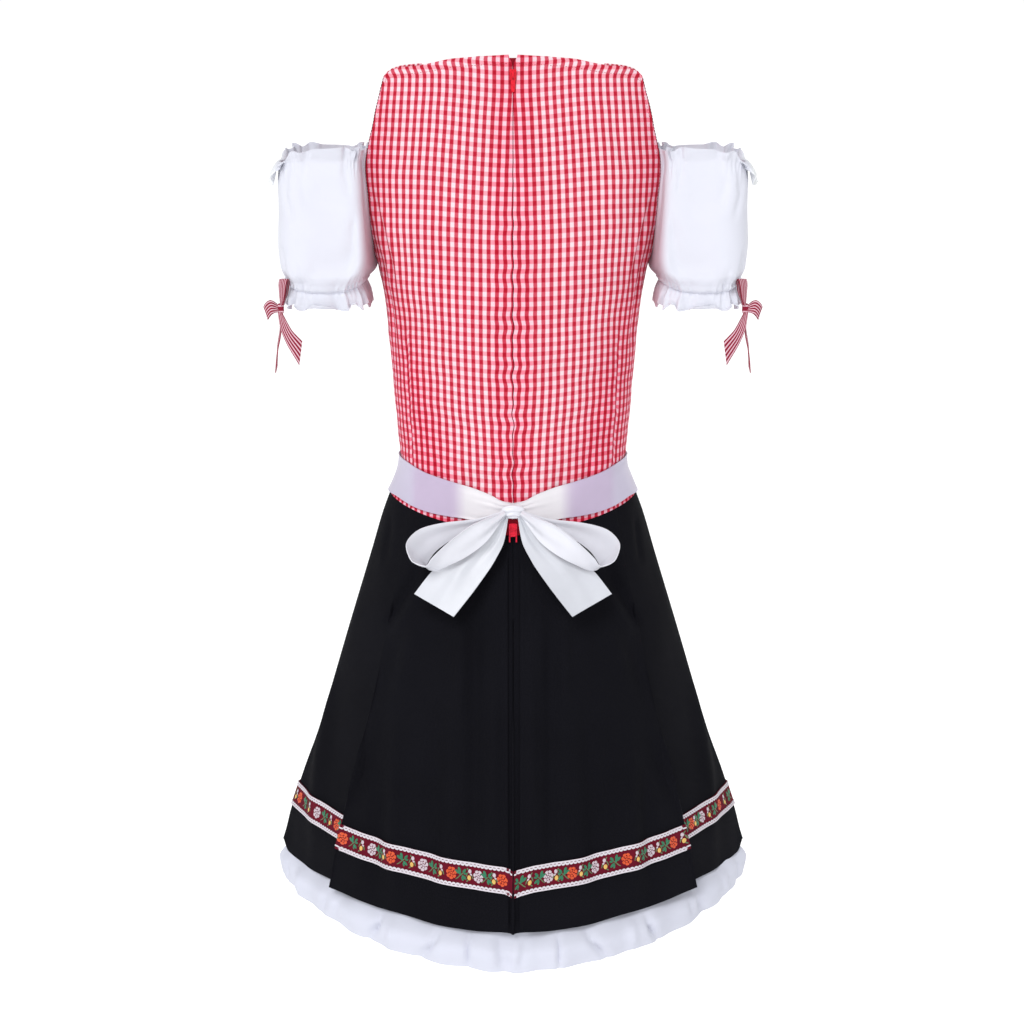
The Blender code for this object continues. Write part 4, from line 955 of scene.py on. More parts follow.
def black_twill(name):
    looks = Looks(name, 0.85, Specular_IOR_Level=0.05, Sheen_Weight=0.0)
    twill = looks.weave(0.0006, diagonal=1.7)
    slub = looks.noise(looks.stretched(looks.uv, (900, 120, 1)), 1.0, 2.0)
    height = looks.maths("MULTIPLY_ADD", slub, 0.7, twill)
    lint = looks.noise(looks.uv, 900.0, 4.0)
    cloth = looks.ramp(lint, (0.30, (0.0034, 0.0034, 0.0056)), (0.80, (0.0092, 0.0092, 0.0126)))
    return looks.finish(looks.shaded(cloth, 0.25, 9), height, 0.00014)


SATIN_WHITE = (0.670, 0.675, 0.735)
# the tails' satin: a darker copy of the same satin, painted shade
SATIN_TAIL_SHADE = (0.545, 0.560, 0.610)
SATIN_HIGHLIGHT = (0.700, 0.680, 0.715)
SATIN_LILAC_SHADE = (0.475, 0.395, 0.540)
SATIN_SIDE_SHADE = (0.500, 0.465, 0.590)


def satin(name, colour=SATIN_WHITE, at_waist=False):
    """Glossy white satin. At the waist it carries a painted highlight by the bow and, away from it,
    painted shade tinted lilac by the red bodice.
    """
    looks = Looks(name, 0.30, Specular_IOR_Level=0.5, Sheen_Weight=0.05)
    floats = looks.noise(looks.stretched(looks.uv, (90, 2600, 1)), 1.0, 3.0)
    aside = looks.maths("ABSOLUTE", looks.axis(looks.place, 0))
    aside = looks.maths("MAXIMUM", aside, looks.maths("MULTIPLY", looks.axis(looks.place, 1), 2.0))
    if at_waist:
        # painted highlight by the bow, then painted shade tinted lilac by the red bodice, paler
        # painted shade at the far side and the front
        colour = looks.ramp(aside, (0.046, SATIN_HIGHLIGHT), (0.060, SATIN_LILAC_SHADE),
                            (0.097, SATIN_LILAC_SHADE), (0.104, SATIN_SIDE_SHADE))
    gloss = looks.maths("MULTIPLY_ADD", floats, 0.14, 0.30)
    return looks.finish(looks.shaded(colour, 0.09, 26), floats, 0.00005, gloss)


def woven_band(name):
    """The burgundy ground of the flower border, ribbed by its weft."""
    looks = Looks(name, 0.8, Specular_IOR_Level=0.1)
    ribs = looks.wave(looks.u, 0.00055)
    cross = looks.wave(looks.v, 0.00040)
    height = looks.maths("MULTIPLY_ADD", cross, 0.5, ribs)
    # painted shade: the ground is darker where its ribs sink and lighter on their tops
    ground = looks.ramp(height, (0.2, (0.090, 0.003, 0.012)), (1.0, (0.150, 0.006, 0.020)))
    return looks.finish(looks.shaded(ground, 0.2, 120), height, 0.00012)


def thread(name, dark, light, roughness=0.5):
    """Satin-stitched thread, its strands lying across the ribbon."""
    looks = Looks(name, roughness, Specular_IOR_Level=0.35, Sheen_Weight=0.15)
    strands = looks.wave(looks.u, 0.00036)
    colour = looks.ramp(strands, (0.0, dark), (0.7, light))
    return looks.finish(looks.shaded(colour, 0.15, 300), strands, 0.00010)


def zip_tape_cloth(name):
    looks = Looks(name, 0.8, Specular_IOR_Level=0.2)
    bars = looks.noise(looks.stretched(looks.place, (300, 300, 1600)), 1.0, 2.0)
    colour = looks.ramp(bars, (0.3, (0.200, 0.002, 0.010)), (0.7, (0.330, 0.004, 0.020)))
    return looks.finish(colour, bars, 0.00015)


def enamel(name, colour, roughness=0.30):
    looks = Looks(name, roughness, Specular_IOR_Level=0.25, Coat_Weight=0.08, Coat_Roughness=0.2)
    worn = looks.noise(looks.place, 900.0, 4.0)
    shade = looks.ramp(worn, (0.35, tuple(c * 0.7 for c in colour)), (0.65, colour))
    return looks.finish(shade, looks.noise(looks.place, 500.0), 0.00003)


def floor_paint(name):
    looks = Looks(name, 0.95, Specular_IOR_Level=0.0, Emission_Strength=0.30,
                  Emission_Color=(1.0, 1.0, 1.0, 1.0))
    return looks.finish(looks.shaded((0.93, 0.93, 0.935), 0.01, 0.6))


# ---------- bodice

WAIST_FADE = 0.012           # creases and swells fade out this close to the waist
STEP_WIDTH = 0.0008          # a turned edge's step is this wide
SEAM_DEPTH, SEAM_WIDTH = 0.0009, 0.0011
SEAM_COLUMNS, SEAM_ROWS = 0.3, 0.6    # how far the checks jump at the shaping seam
SWAY = ((190, 0.4), (320, 2.0))       # the panel's edge sways along the zip: rate and phase
SWAY_DEPTH, SWAY_WIDTH = 0.0006, 0.018


def fine_across(count):
    """Columns over half a panel, closer together near the centre."""
    t = shares(count)
    return mix(t, t**1.7, 0.55)


def back_panel(side, label):
    """The points of a back panel and where its checks fall, as for the wearer's right."""
    up, across = grid(shares(BACK_ROWS_FINE), fine_across(BACK_COLUMNS_FINE))
    points = bodice_back(across, up)
    s, z = arc(points), points[..., 2]
    amount = creased(s, z, BODICE_CREASES + ZIP_PUCKERS[side])
    amount += 0.0007 * uneven(s * side, z, 0.045, 3) + 0.0003 * uneven(s * side, z, 0.016, 4)
    amount *= ease((z - waist_z(90 * across, WAIST_DIP_BACK)) / WAIST_FADE)
    hem = ease((z - read(BACK_TOP, "z", across) + NECK_HEM) / STEP_WIDTH)
    amount += HEM_STEP * hem * ease((NECK_EDGE - across) / 0.04)
    from_side = s[:, -1:] - s
    at_armhole = ease((z - UNDERARM_Z) / 0.01)
    amount += HEM_STEP * ease((ARMHOLE_HEM - from_side) / STEP_WIDTH) * at_armhole
    sewn = ease((SIDE_SEAM_TOP - z) / 0.05)
    points = moved_out(points, amount - SEAM_DEPTH * bell(s - SIDE_SEAM_S, SEAM_WIDTH) * sewn)
    sway = sum(SWAY_DEPTH * np.sin(z * rate + phase) for rate, phase in SWAY)
    points[..., 0] += side * sway * bell(s, SWAY_WIDTH) * ease((-0.05 - z) / 0.25)
    beyond = ease((s - SIDE_SEAM_S) / STEP_WIDTH) * sewn
    u = (s + zip_parting(z)) / CHECK_WIDTH + read(CHECKS, label, z) + SEAM_COLUMNS * beyond
    u += read(CHECKS, "side", z) * ease(across)
    droop = read(CHECKS, "droop", z) * ease(across / CHECK_DROOP_ACROSS)
    v = read(CHECKS, "row", z) + droop - SEAM_ROWS * beyond
    return points, u * CHECK_WIDTH, -v * CHECK_HEIGHT


def add_bodice_backs(cloth):
    backs = {}
    for side, label in SIDES:
        points, u, v = on_side(side, *back_panel(side, label))
        lay_cloth(f"bodice_back_{label}", points, (u, v), BODICE_WALL, cloth, "red_gingham",
                  "stretched")
        backs[label] = points
    return backs


def add_bodice_fronts(cloth):
    across_columns = fine_across(FRONT_COLUMNS_FINE)
    edge = np.argmin(np.abs(across_columns - NECK_EDGE))
    across_columns[edge] = NECK_EDGE
    up, across = grid(shares(FRONT_ROWS_FINE), across_columns)
    height = mix(waist_z(90 * across, WAIST_DIP_FRONT), neck_z(across), up)
    body = bodice_front(across, height)
    s, z = arc(body), body[..., 2]
    amount = creased(s, z, BODICE_FRONT_CREASES) + 0.0007 * uneven(s, z, 0.05, 8)
    amount *= ease((height - waist_z(90 * across, WAIST_DIP_FRONT)) / WAIST_FADE)
    amount *= ease((STRAP_START_Z - height) / 0.02)
    from_neck = (neck_z(across) - height) * (across < NECK_EDGE) + (across >= NECK_EDGE)
    amount += HEM_STEP * ease((NECK_HEM - from_neck) / STEP_WIDTH)
    body = moved_out(body, amount)
    rolled = STRAP_START_Z + STRAP_ARCH * shares(STRAP_ROWS_FINE + 1)[1:]
    strap_height, strap_across = grid(rolled, across_columns)
    strap = bodice_front(strap_across, strap_height)
    half = np.concatenate([body, strap, strap[-1:] - (0, 0, STRAP_LIFT)])
    half[:, 0, 0] = SEAM_GAP
    present = np.ones((len(half) - 1, half.shape[1] - 1), bool)
    present[len(body) - 1:, :edge] = False
    lengths = arc_up(half)
    u = arc(half)[len(body) // 2][None, :] * np.ones((len(half), 1))
    v = lengths - lengths[len(body) - 1] + height[-1][None, :]
    half, u, v, present = (values[:, ::-1] for values in (half, u, v, present))
    for side, label in SIDES:
        points, us, vs, cells = on_side(side, half, u, v, present)
        lay_cloth(f"bodice_front_{label}", points, (us, vs), BODICE_WALL, cloth, "red_gingham",
                  "stretched", cells)


# ---------- skirt and border

PLEAT_SPAN, CENTRE_SPAN = (0.58, 0.70), (0, 0.07)     # more columns over these shares across
PLEAT_SMOOTH = 0.85          # the creases fade by this share at the pleat's fold
FOLD_DEPTH, FOLD_EDGE = 0.0026, 0.0022
FOLD_RISE = 0.0005
TRIM_AT = 0.12               # the border's share of the height, where the strip is shallower
TRIM_FLATTENS = 0.75


def skirt_columns(count):
    pleat = np.linspace(*PLEAT_SPAN, PLEAT_COLUMNS)
    centre = np.linspace(*CENTRE_SPAN, CENTRE_COLUMNS)
    return np.unique(np.concatenate([shares(count), pleat, centre]))


def skirt_folds(s, z, across, up, front, side):
    """How far the skirt's folds stand out from its form, with the sunken strip below the zip."""
    amount = SKIRT_CREASE_DEPTH * creased(s, z, SKIRT_CREASES)
    amount += 0.0012 * uneven(s * side, z * 0.4, 0.06, 11 + front)
    amount *= ease(across * 12) * ease((1 - across) * 14) * ease((1 - up) * 14)
    amount *= 1 - PLEAT_SMOOTH * bell(across - 0.63, 0.035)
    if not front:
        strip = ease((FOLD_HALF[side] - s) / 0.0016)
        edge = bell(s - FOLD_HALF[side] - FOLD_EDGE, FOLD_EDGE)
        at_trim = bell(up - TRIM_AT, 0.045)
        depth = FOLD_DEPTH * (1 - TRIM_FLATTENS * at_trim) * ease((up + 0.01) / 0.05)
        amount += (FOLD_RISE * edge * (1 - at_trim) - depth * strip) * ease((0.96 - up) / 0.05)
    return amount


def skirt_grid(rows, front, side=RIGHT):
    """A skirt panel's right half over these shares of its height, folded, and its cloth places."""
    up, across = grid(rows, skirt_columns(SKIRT_COLUMNS_FINE))
    points = skirt(across, up, front)
    s = arc(points)
    points = moved_out(points, skirt_folds(s, points[..., 2], across, up, front, side))
    if not front:
        sag = np.clip(1 - s / SAG_WIDTH[side], 0, 1) * ease(up / 0.085) * ease((0.36 - up) / 0.20)
        points[..., 2] -= CENTRE_SAG * sag
        points[..., 2] += HEM_LIFT * bell(s, 0.016) * ease((0.06 - up) / 0.06)
    fold = bell(across - PLEAT_FOLD, 0.022) * ease((0.55 - up) / 0.3)
    points[..., 0] += PLEAT_REACH[0] * fold
    points[..., 1] += PLEAT_REACH[1] * fold * (-1 if front else 1)
    rise = mix(*TRIM_RISES, ease((across - PLEAT_UNDER) / 0.03)) + 0.0012 * bell(s, 0.03)
    points[..., 2] += rise * ease((up - 0.02) / 0.06) * ease((0.34 - up) / 0.16)
    drop = HEM_DROP * ease((s - 0.01) / 0.04) + SIDE_HEM_DROP * ease((across - 0.66) / 0.2)
    points[..., 2] -= drop * ease((0.075 - up) / 0.075) * ease((1 - across) / 0.05)
    points[:, 0, 0] = SEAM_GAP
    return points, s, up * (WAIST_SIDE_Z - HEM_SIDE_Z)


def skirt_shapes(rows):
    """Each panel's name, points and cloth places: back left, back right and the whole front."""
    for side, label in SIDES:
        yield f"back_{label}", *on_side(side, *skirt_grid(rows, False, side))
    half, s, v = skirt_grid(rows, True)
    half[:, 0, 0] = 0.0
    halves = ((half, half * MIRROR), (s, -s), (v, v))
    yield "front", *(np.concatenate([a[:, ::-1], b[:, 1:]], axis=1) for a, b in halves)


def add_skirt(cloth):
    for name, points, *uv in skirt_shapes(shares(SKIRT_ROWS_FINE)):
        lay_cloth(f"skirt_{name}", points, uv, SKIRT_WALL, cloth, "black_twill", "hung")


def trim_shares():
    tall = WAIST_SIDE_Z - HEM_SIDE_Z
    return TRIM_ABOVE_HEM / tall, (TRIM_ABOVE_HEM + TRIM_HEIGHT) / tall


# A lace edge: a solid band, a row of slots, a bar and round teeth, one to each repeat.
LACE_REPEAT = 0.0041
LACE_BAND, LACE_SLOT, LACE_BAR, LACE_TOOTH = 0.0015, 0.0006, 0.0005, 0.0016
LACE_POST = 0.0009
LACE_STEPS = 6
LACE_LIFT = 0.0021
LACE_THICK = 0.0006
DOME_SIDES = 10
DOME_RISES = (0.0006, 0.0009)        # of a thin oval and of a wide one
SPOT_ROOM = 0.0018           # no spot is nearer to a panel's end
# Where the roses fall on the back panels, from the centre outwards; beyond, one to each step.
ROSE_PLACES = (
    0.0109, 0.0351, 0.0626, 0.0968, 0.1305, 0.1597, 0.1962, 0.2180, 0.2395, 0.2770, 0.3250,
)
MOTIF_STEP = 0.0309
# Rings of petals: how many, the ring's radius, a petal's length and width, and the ring's turn.
ROSE = (
    (7, 0.0041, 0.0019, 0.0014, 0.2), (5, 0.0021, 0.0012, 0.001, 0.7), (1, 0.0, 0.001, 0.001, 0.0),
)
ROSE_TALL = 1.14
Spot = namedtuple("Spot", "u v length width turn thread")


def spots(**threads):
    """Small ovals of each thread: u, v, length, width and turn."""
    return [Spot(*row, thread) for thread, rows in threads.items() for row in rows]


LEAVES = spots(
    green=(
        (-0.0028, 0.0034, 0.0024, 0.0013, 2.3), (-0.0038, 0.001, 0.0018, 0.0011, 3.0),
        (0.0022, 0.004, 0.0028, 0.0015, 1.2), (0.0042, 0.002, 0.0028, 0.0015, 0.5),
        (0.0016, 0.001, 0.0022, 0.0013, 0.9), (-0.0028, -0.0026, 0.003, 0.0013, 3.8),
        (-0.0012, -0.004, 0.0022, 0.0011, 4.4),
    ),
    stem=(
        (0.0006, -0.0006, 0.0044, 0.0005, 2.4), (0.0038, -0.0038, 0.0026, 0.0005, 2.5),
    ),
)
BUDS = spots(
    pale=(
        (0.0, 0.0038, 0.002, 0.0017, 1.6), (-0.0014, 0.0008, 0.0014, 0.0009, 0.6),
    ),
    yellow=(
        (0.0004, -0.0024, 0.0024, 0.0019, 1.4),
    ),
    stem=(
        (0.0028, 0.0006, 0.0026, 0.0006, 1.9), (-0.0028, -0.001, 0.0024, 0.0006, 1.2),
        (0.002, -0.0054, 0.0016, 0.0006, 2.4), (0.002, 0.0054, 0.0016, 0.0006, 0.9),
    ),
)
BUDS_AT, LEAVES_AT = 0.33, 0.63           # shares of the way from one rose to the next
# How much further out the right panel's roses fall, and the motifs before its first.
RIGHT_SHIFT = 0.0250
BEFORE_ROSE = ((LEAVES, 0.0070), (BUDS, 0.0165), (LEAVES, 0.0265))


def on_cloth(points, s, u, v, lift):
    """Places on a grid of cloth: u metres along its rows, v a share of its height, lifted off."""
    along = np.abs(s[len(s) // 2] - s[len(s) // 2, 0])
    column = np.clip(np.interp(u, along, np.arange(len(along))), 0, len(along) - 1.001)
    row = np.clip(np.asarray(v) * (len(points) - 1), 0, len(points) - 1.001)
    c, r = column.astype(int), row.astype(int)
    tc, tr = (column - c)[..., None], (row - r)[..., None]

    def at(values):
        low = mix(values[r, c], values[r, c + 1], tc)
        high = mix(values[r + 1, c], values[r + 1, c + 1], tc)
        return mix(low, high, tr)

    return at(points) + at(normals(points)) * np.asarray(lift)[..., None]


def row_length(s):
    return abs(s[len(s) // 2, -1] - s[len(s) // 2, 0])


def lace_strip(start, stop):
    """A lace edge between two places along a ribbon, as flat places and their quads."""
    count = int((stop - start) // LACE_REPEAT)
    pitch = (stop - start) / count
    low_bar = LACE_BAND + LACE_SLOT
    high_bar = low_bar + LACE_BAR
    turn = np.linspace(0, pi, LACE_STEPS + 1)
    spread = pitch / 2
    boxes = (
        (-spread, spread, 0.0, LACE_BAND), (-spread, -spread + LACE_POST, LACE_BAND, low_bar),
        (spread - LACE_POST, spread, LACE_BAND, low_bar), (-spread, spread, low_bar, high_bar),
    )
    cell_u = [u for a, b, _, _ in boxes for u in (a, b, b, a)]
    cell_v = [v for _, _, a, b in boxes for v in (a, a, b, b)]
    cell = [tuple(range(4 * k, 4 * k + 4)) for k in range(len(boxes))]
    first = len(cell_u)
    cell_u += [*(-spread * np.cos(turn)), *(-spread * np.cos(turn))]
    cell_v += [*np.full(len(turn), high_bar), *(high_bar + LACE_TOOTH * np.sin(turn))]
    for k in range(LACE_STEPS):
        high = first + len(turn) + k
        cell.append((first + k, first + k + 1, high + 1, high))
    centres = start + (np.arange(count) + 0.5) * pitch
    u = (centres[:, None] + np.array(cell_u)[None]).ravel()
    v = np.tile(cell_v, count)
    quads = (np.array(cell)[None] + (np.arange(count) * len(cell_u))[:, None, None]).reshape(-1, 4)
    return u, v, quads


def add_lace(name, points, s, material):
    places, faces, uvs, start = [], [], [], 0
    for at_top in (False, True):
        u, v, quads = lace_strip(0.0, row_length(s))
        if at_top:
            v, quads = TRIM_HEIGHT - v, quads[:, ::-1]
        for lift, order in ((LACE_LIFT, 1), (LACE_LIFT - LACE_THICK, -1)):
            places.append(on_cloth(points, s, u, v / TRIM_HEIGHT, np.full(len(u), lift)))
            uvs.append(np.stack([u, v], axis=-1))
            faces.append(quads[:, ::order] + start)
            start += len(u)
    obj = add_mesh(name, np.concatenate(places), np.concatenate(faces), material,
                   np.concatenate(uvs))
    return dress_piece(obj, [], "woven_flower_ribbon")


def dome(spot):
    """A small raised oval of thread: its middle, a ring half way and its rim, as u, v and lift."""
    rise = DOME_RISES[spot.width > 0.0010]
    angle = np.arange(DOME_SIDES) * 2 * pi / DOME_SIDES
    counts = (1, DOME_SIDES, DOME_SIDES)
    share = np.repeat((0.0, 0.62, 1.0), counts)
    lift = np.repeat((rise, rise * 0.72, 0.0002), counts)
    angle = np.concatenate([[0.0], angle, angle])
    a, b = share * spot.length * np.cos(angle), share * spot.width * np.sin(angle)
    u = spot.u + (a * np.cos(spot.turn) - b * np.sin(spot.turn))
    v = spot.v + (a * np.sin(spot.turn) + b * np.cos(spot.turn))
    quads = []
    for k in range(1, DOME_SIDES + 1):
        n = k % DOME_SIDES + 1
        quads += [(0, k, n, 0), (k, k + DOME_SIDES, n + DOME_SIDES, n)]
    return u, v, lift, np.array(quads)


def motifs(stop, shift, first_white, extra=()):
    """The thread ovals along a panel, from the centre back or the end of the front outwards."""
    placed = [spot._replace(u=start + spot.u) for group, start in extra for spot in group]
    more = int((stop - ROSE_PLACES[-1]) / MOTIF_STEP) + 2
    places = [*ROSE_PLACES, *(ROSE_PLACES[-1] + MOTIF_STEP * (k + 1) for k in range(more))]
    for k, (rose_u, next_u) in enumerate(zip(places, places[1:])):
        tone = "pale" if (k % 2 == 0) == first_white else "orange"
        rose_u, gap = rose_u + shift, next_u - rose_u
        for count, radius, length, width, turn in ROSE:
            for angle in 2 * pi * np.arange(count) / count + turn:
                u, v = radius * np.cos(angle), ROSE_TALL * radius * np.sin(angle)
                placed.append(Spot(rose_u + u, v, length, width, angle + pi / 2, tone))
        for group, share in ((BUDS, BUDS_AT), (LEAVES, LEAVES_AT)):
            placed += [spot._replace(u=rose_u + share * gap + spot.u) for spot in group]
    return [spot for spot in placed if SPOT_ROOM < spot.u < stop - SPOT_ROOM]


def add_flowers(name, points, s, flip, placed, threads):
    """The border's flowers, one object for each colour of thread."""
    made = []
    for tone, material in threads.items():
        domes = [dome(spot) for spot in placed if spot.thread == tone]
        starts = np.cumsum([0] + [len(u) for u, _, _, _ in domes])
        quads = np.concatenate([quads + start for (*_, quads), start in zip(domes, starts)])
        u, v, lift = (np.concatenate(parts) for parts in list(zip(*domes))[:3])
        share = 0.5 + v / TRIM_HEIGHT
        along = row_length(s) - u if flip else u
        places = on_cloth(points, s, along, share, lift + TRIM_WALL + SEAM_GAP)
        uv = np.stack([u, share * TRIM_HEIGHT], axis=-1)
        order = (3, 2, 1, 0) if flip else (0, 1, 2, 3)
        obj = add_mesh(f"{name}_{tone}", places, quads[:, order], material, uv, None)
        made.append(dress_piece(obj, [], "woven_flower_ribbon"))
    return made


def add_trim(ground, lace, threads):
    low, high = trim_shares()
    for name, points, u, v in skirt_shapes(np.linspace(low, high, TRIM_ROWS)):
        on_right = name == "back_right"
        extra = BEFORE_ROSE if on_right else ()
        placed = motifs(row_length(u), RIGHT_SHIFT * on_right, on_right, extra)
        pieces = [add_lace(f"lace_{name}", points, u, lace)]
        pieces += add_flowers(f"flowers_{name}", points, u, not on_right, placed, threads)
        lay_cloth(f"trim_{name}", points, (u, v), TRIM_WALL, ground, "woven_flower_ribbon", "laid",
                  lift=SEAM_GAP, rests_on=[f"cloth_skirt_{name}"], go_with=pieces)


def add_petticoat(cloth):
    columns = np.linspace(-1, 1, PETTICOAT_COLUMNS_FINE)
    up, across = grid(shares(PETTICOAT_ROWS_FINE), columns)
    for name, front in (("petticoat_back", False), ("petticoat_front", True)):
        points = petticoat(across, up, front)
        s = arc(points) - arc(points)[:, -1:] / 2
        z = points[..., 2]
        amount = creased(np.abs(s), z, PETTICOAT_CREASES) + 0.0012 * uneven(s, z * 0.3, 0.05, 21)
        amount *= ease((PETTICOAT[1].z + 0.012 - z) / 0.02) * ease((1 - np.abs(across)) * 14)
        amount *= 1 - 0.6 * ease((0.10 - up) / 0.10)
        points = moved_out(points, -amount if front else amount)
        points[..., 2] += 0.0003 * uneven(s, 0 * z, 0.05, 23) * ease((-0.84 - z) / 0.015)
        if front:
            points, s = points[:, ::-1], -s[:, ::-1]
        lay_cloth(name, points, (s, up * PETTICOAT_CLOTH), PETTICOAT_WALL, cloth,
                  "petticoat_lawn", "gathered")


# ---------- sleeves

LUMP_DEPTH, LUMP_WIDTH, LUMPS_ABOVE = 0.0019, 0.0018, 0.0032    # above the cuff's elastic
ELASTIC_DEPTH, ELASTIC_WIDTH = 0.0012, 0.0016


def sleeve_grid():
    steps = SLEEVE_ROWS_FINE // (len(SLEEVE) - 1) + 1
    rows = [np.linspace(a.z, b.z, steps)[:-1] for a, b in zip(SLEEVE, SLEEVE[1:])]
    z, across = grid(np.concatenate([*rows, [SLEEVE[-1].z]]),
                     np.linspace(-1, 1, SLEEVE_COLUMNS_FINE))
    points = sleeve(across, z)
    s = arc(points)
    puff = ease((z - CUFF_ELASTIC_Z) / 0.03) * ease((TOP_ELASTIC_Z - z) / 0.03)
    amount = creased(across * 0.1, z, SLEEVE_CREASES) + creased(-across * 0.1, z, SLEEVE_CREASES)
    amount += 0.0012 * uneven(s, z * 0.7, 0.045, 31) * puff
    amount += 0.0005 * uneven(s, z * 0.4, 0.011, 33) * (1 - puff)
    lumps = 1 + 0.5 * np.cos(2 * pi * ELASTIC_LUMPS * across + 3 * np.sin(9 * across))
    amount += LUMP_DEPTH * lumps * bell(z - CUFF_ELASTIC_Z - LUMPS_ABOVE, LUMP_WIDTH)
    amount -= ELASTIC_DEPTH * bell(z - CUFF_ELASTIC_Z, ELASTIC_WIDTH)
    amount *= ease((1 - np.abs(across)) * 12)
    return moved_out(points, amount), s, z


def add_sleeves(cloth):
    right, s, z = sleeve_grid()
    for side, label in SIDES:
        points = right if side == RIGHT else mirrored(right)
        lay_cloth(f"sleeve_{label}", points, (s, z), SLEEVE_WALL, cloth, "white_cotton", "gathered")


def add_strip(node, stations, fine, side, cloth, slot, folds, held="folded"):
    """A free ribbon with soft folds that run along it and spread from its gathered ends."""
    along, across = grid(*map(shares, fine))
    points = ribbon(stations, along, across)
    length = arc_up(points)
    points = moved_out(points, folds(along, across))
    points = points if side == RIGHT else mirrored(points)
    uv = length, across * RIBBON_STRIPES * RIBBON_STRIPE
    lay_cloth(node, points, uv, RIBBON_WALL, cloth, slot, held)


def add_knot(node, centre, half, cloth, slot, boxy, folds):
    """A tied knot: a lump of ribbon, boxy or tapering, with folds that run over or along it."""
    t, phi = grid(pi * (shares(KNOT_FINE[0]) - 0.5), 2 * pi * shares(KNOT_FINE[1]))
    round_t = np.cos(t) ** mix(1.0, 0.5, boxy)
    x = np.sign(np.cos(phi)) * np.abs(np.cos(phi)) ** mix(1.0, 0.55, boxy) * round_t
    y = np.sign(np.sin(phi)) * np.abs(np.sin(phi)) ** mix(1.1, 0.8, boxy) * round_t
    z = np.sign(t) * np.abs(np.sin(t)) ** 0.75
    pinch = 1 - 0.10 * bell(z, 0.35) * boxy
    across_folds = x if boxy else z + 0.25 * np.abs(x)
    deep = mix(0.34, 0.16, boxy)
    crease = 1 - deep * (0.5 + 0.5 * np.cos(folds * pi * across_folds)) * (1 - z**4)
    points = stack(half[0] * x * pinch, half[1] * y * crease, half[2] * z) + np.asarray(centre)
    quads = np.stack(cell_corners(*KNOT_FINE), axis=-1)
    uv = np.stack([half[0] * x, 2 * half[2] * t / pi], axis=-1)
    obj = add_mesh(f"cloth_{node}", points.reshape(-1, 3), quads, cloth, uv.reshape(-1, 2))
    dress_piece(obj, [node], slot)


def node_middle(node):
    """The middle of a solid's box and half of its size."""
    low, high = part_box(node)
    return (low + high) / 2, np.array(high - low) / 2


def bow_loop_folds(along, across):
    near = bell(np.minimum(along, 1 - along), 0.25)
    return 0.0005 * near * np.sin(3 * pi * across) + 0.0004 * np.sin(5 * along + 3 * across)


def bow_tail_folds(along, across):
    near = bell(along, 0.25)
    return 0.0005 * near * np.sin(2 * pi * across) + 0.0004 * np.sin(5 * along + 3 * across)


def add_sleeve_bows(cloth):
    strips = (
        ("loop_up", BOW_LOOP_UP, BOW_LOOP_FINE, bow_loop_folds),
        ("loop_out", BOW_LOOP_OUT, BOW_LOOP_FINE, bow_loop_folds),
        ("tail_wide", BOW_TAIL_WIDE, BOW_TAIL_FINE, bow_tail_folds),
        ("tail_thin", BOW_TAIL_THIN, BOW_TAIL_FINE, bow_tail_folds),
    )
    for side, label in SIDES:
        knot = f"sleeve_bow_knot_{label}"
        add_knot(knot, *node_middle(knot), cloth, "striped_ribbon", 1, 3)
        for name, stations, fine, folds in strips:
            placed = np.array(stations) * (1, -1, 1, 1, -1, 1) + BOW_KNOT * 2
            add_strip(f"sleeve_bow_{name}_{label}", placed, fine, side, cloth, "striped_ribbon",
                      folds)


# ---------- sash


def sash_loop_folds(along, across):
    near = bell(along, 0.18) + bell(1 - along, 0.18)
    fine = np.sin(2 * pi * 1.6 * across + 0.4) * 0.0011 * near
    return fine + 0.0010 * np.sin(9 * along + 4 * across) * np.sin(pi * across)


def sash_tail_folds(along, across):
    ridge = 0.0022 * bell(across - 0.30 - 0.3 * along, 0.16) * ease(1.3 - along)
    dent = -0.0018 * bell(across - 0.62, 0.10) * ease((0.8 - along) / 0.5)
    return 0.0010 * bell(along, 0.30) * np.sin(2 * pi * 1.8 * across) + ridge + dent


def add_sash(cloth, shaded_tail_cloth, band_cloth):
    up, degrees = grid(shares(SASH_ROWS_FINE), np.linspace(-180, 180, SASH_COLUMNS_FINE))
    points = sash(degrees % 360, up)
    s = arc(points)
    near = bell(degrees, 15)
    folds = np.cos(2 * pi * 1.6 * up + 0.5) * 0.0012 + np.cos(2 * pi * 3.4 * up) * 0.0005
    amount = np.abs(folds) * near + 0.0004 * (1 + uneven(s, up * 0.05, 0.05, 41)) * (1 - near)
    amount += 0.0005 * bell(np.minimum(up, 1 - up), 0.05)
    points = moved_out(points, amount)
    lay_cloth("sash_band", points, (s, up * SASH_CLOTH), RIBBON_WALL, band_cloth,
              "white_satin", "stretched")
    middle, half = node_middle("sash_knot")
    middle = middle + Vector((0, SASH_KNOT_FORWARD, 0))
    add_knot("sash_knot", middle, SASH_KNOT_SHARES * half, cloth, "white_satin", 0, 3)
    for side, label in SIDES:
        add_strip(f"sash_loop_{label}", SASH_LOOP, SASH_LOOP_FINE, side, cloth, "white_satin",
                  sash_loop_folds)
        add_strip(f"sash_tail_{label}", SASH_TAIL, SASH_TAIL_FINE, side, shaded_tail_cloth,
                  "white_satin", sash_tail_folds, "hung")


# ---------- stitches


STITCH_PITCH = 0.0030
STITCH_SIZE = (0.0021, 0.00020)     # length and radius
EDGE_SIZE = (0.0030, 0.00050)
STITCH_SIDES = 6
NECK_COLUMN = 40             # the panel's column where the neckline's row is found
ARMHOLE_COLUMN = 2           # and the one under the armhole's stitches
STITCH_RINGS = ((0.0, 0.15), (0.22, 0.9), (0.5, 1.0), (0.78, 0.9), (1.0, 0.15))


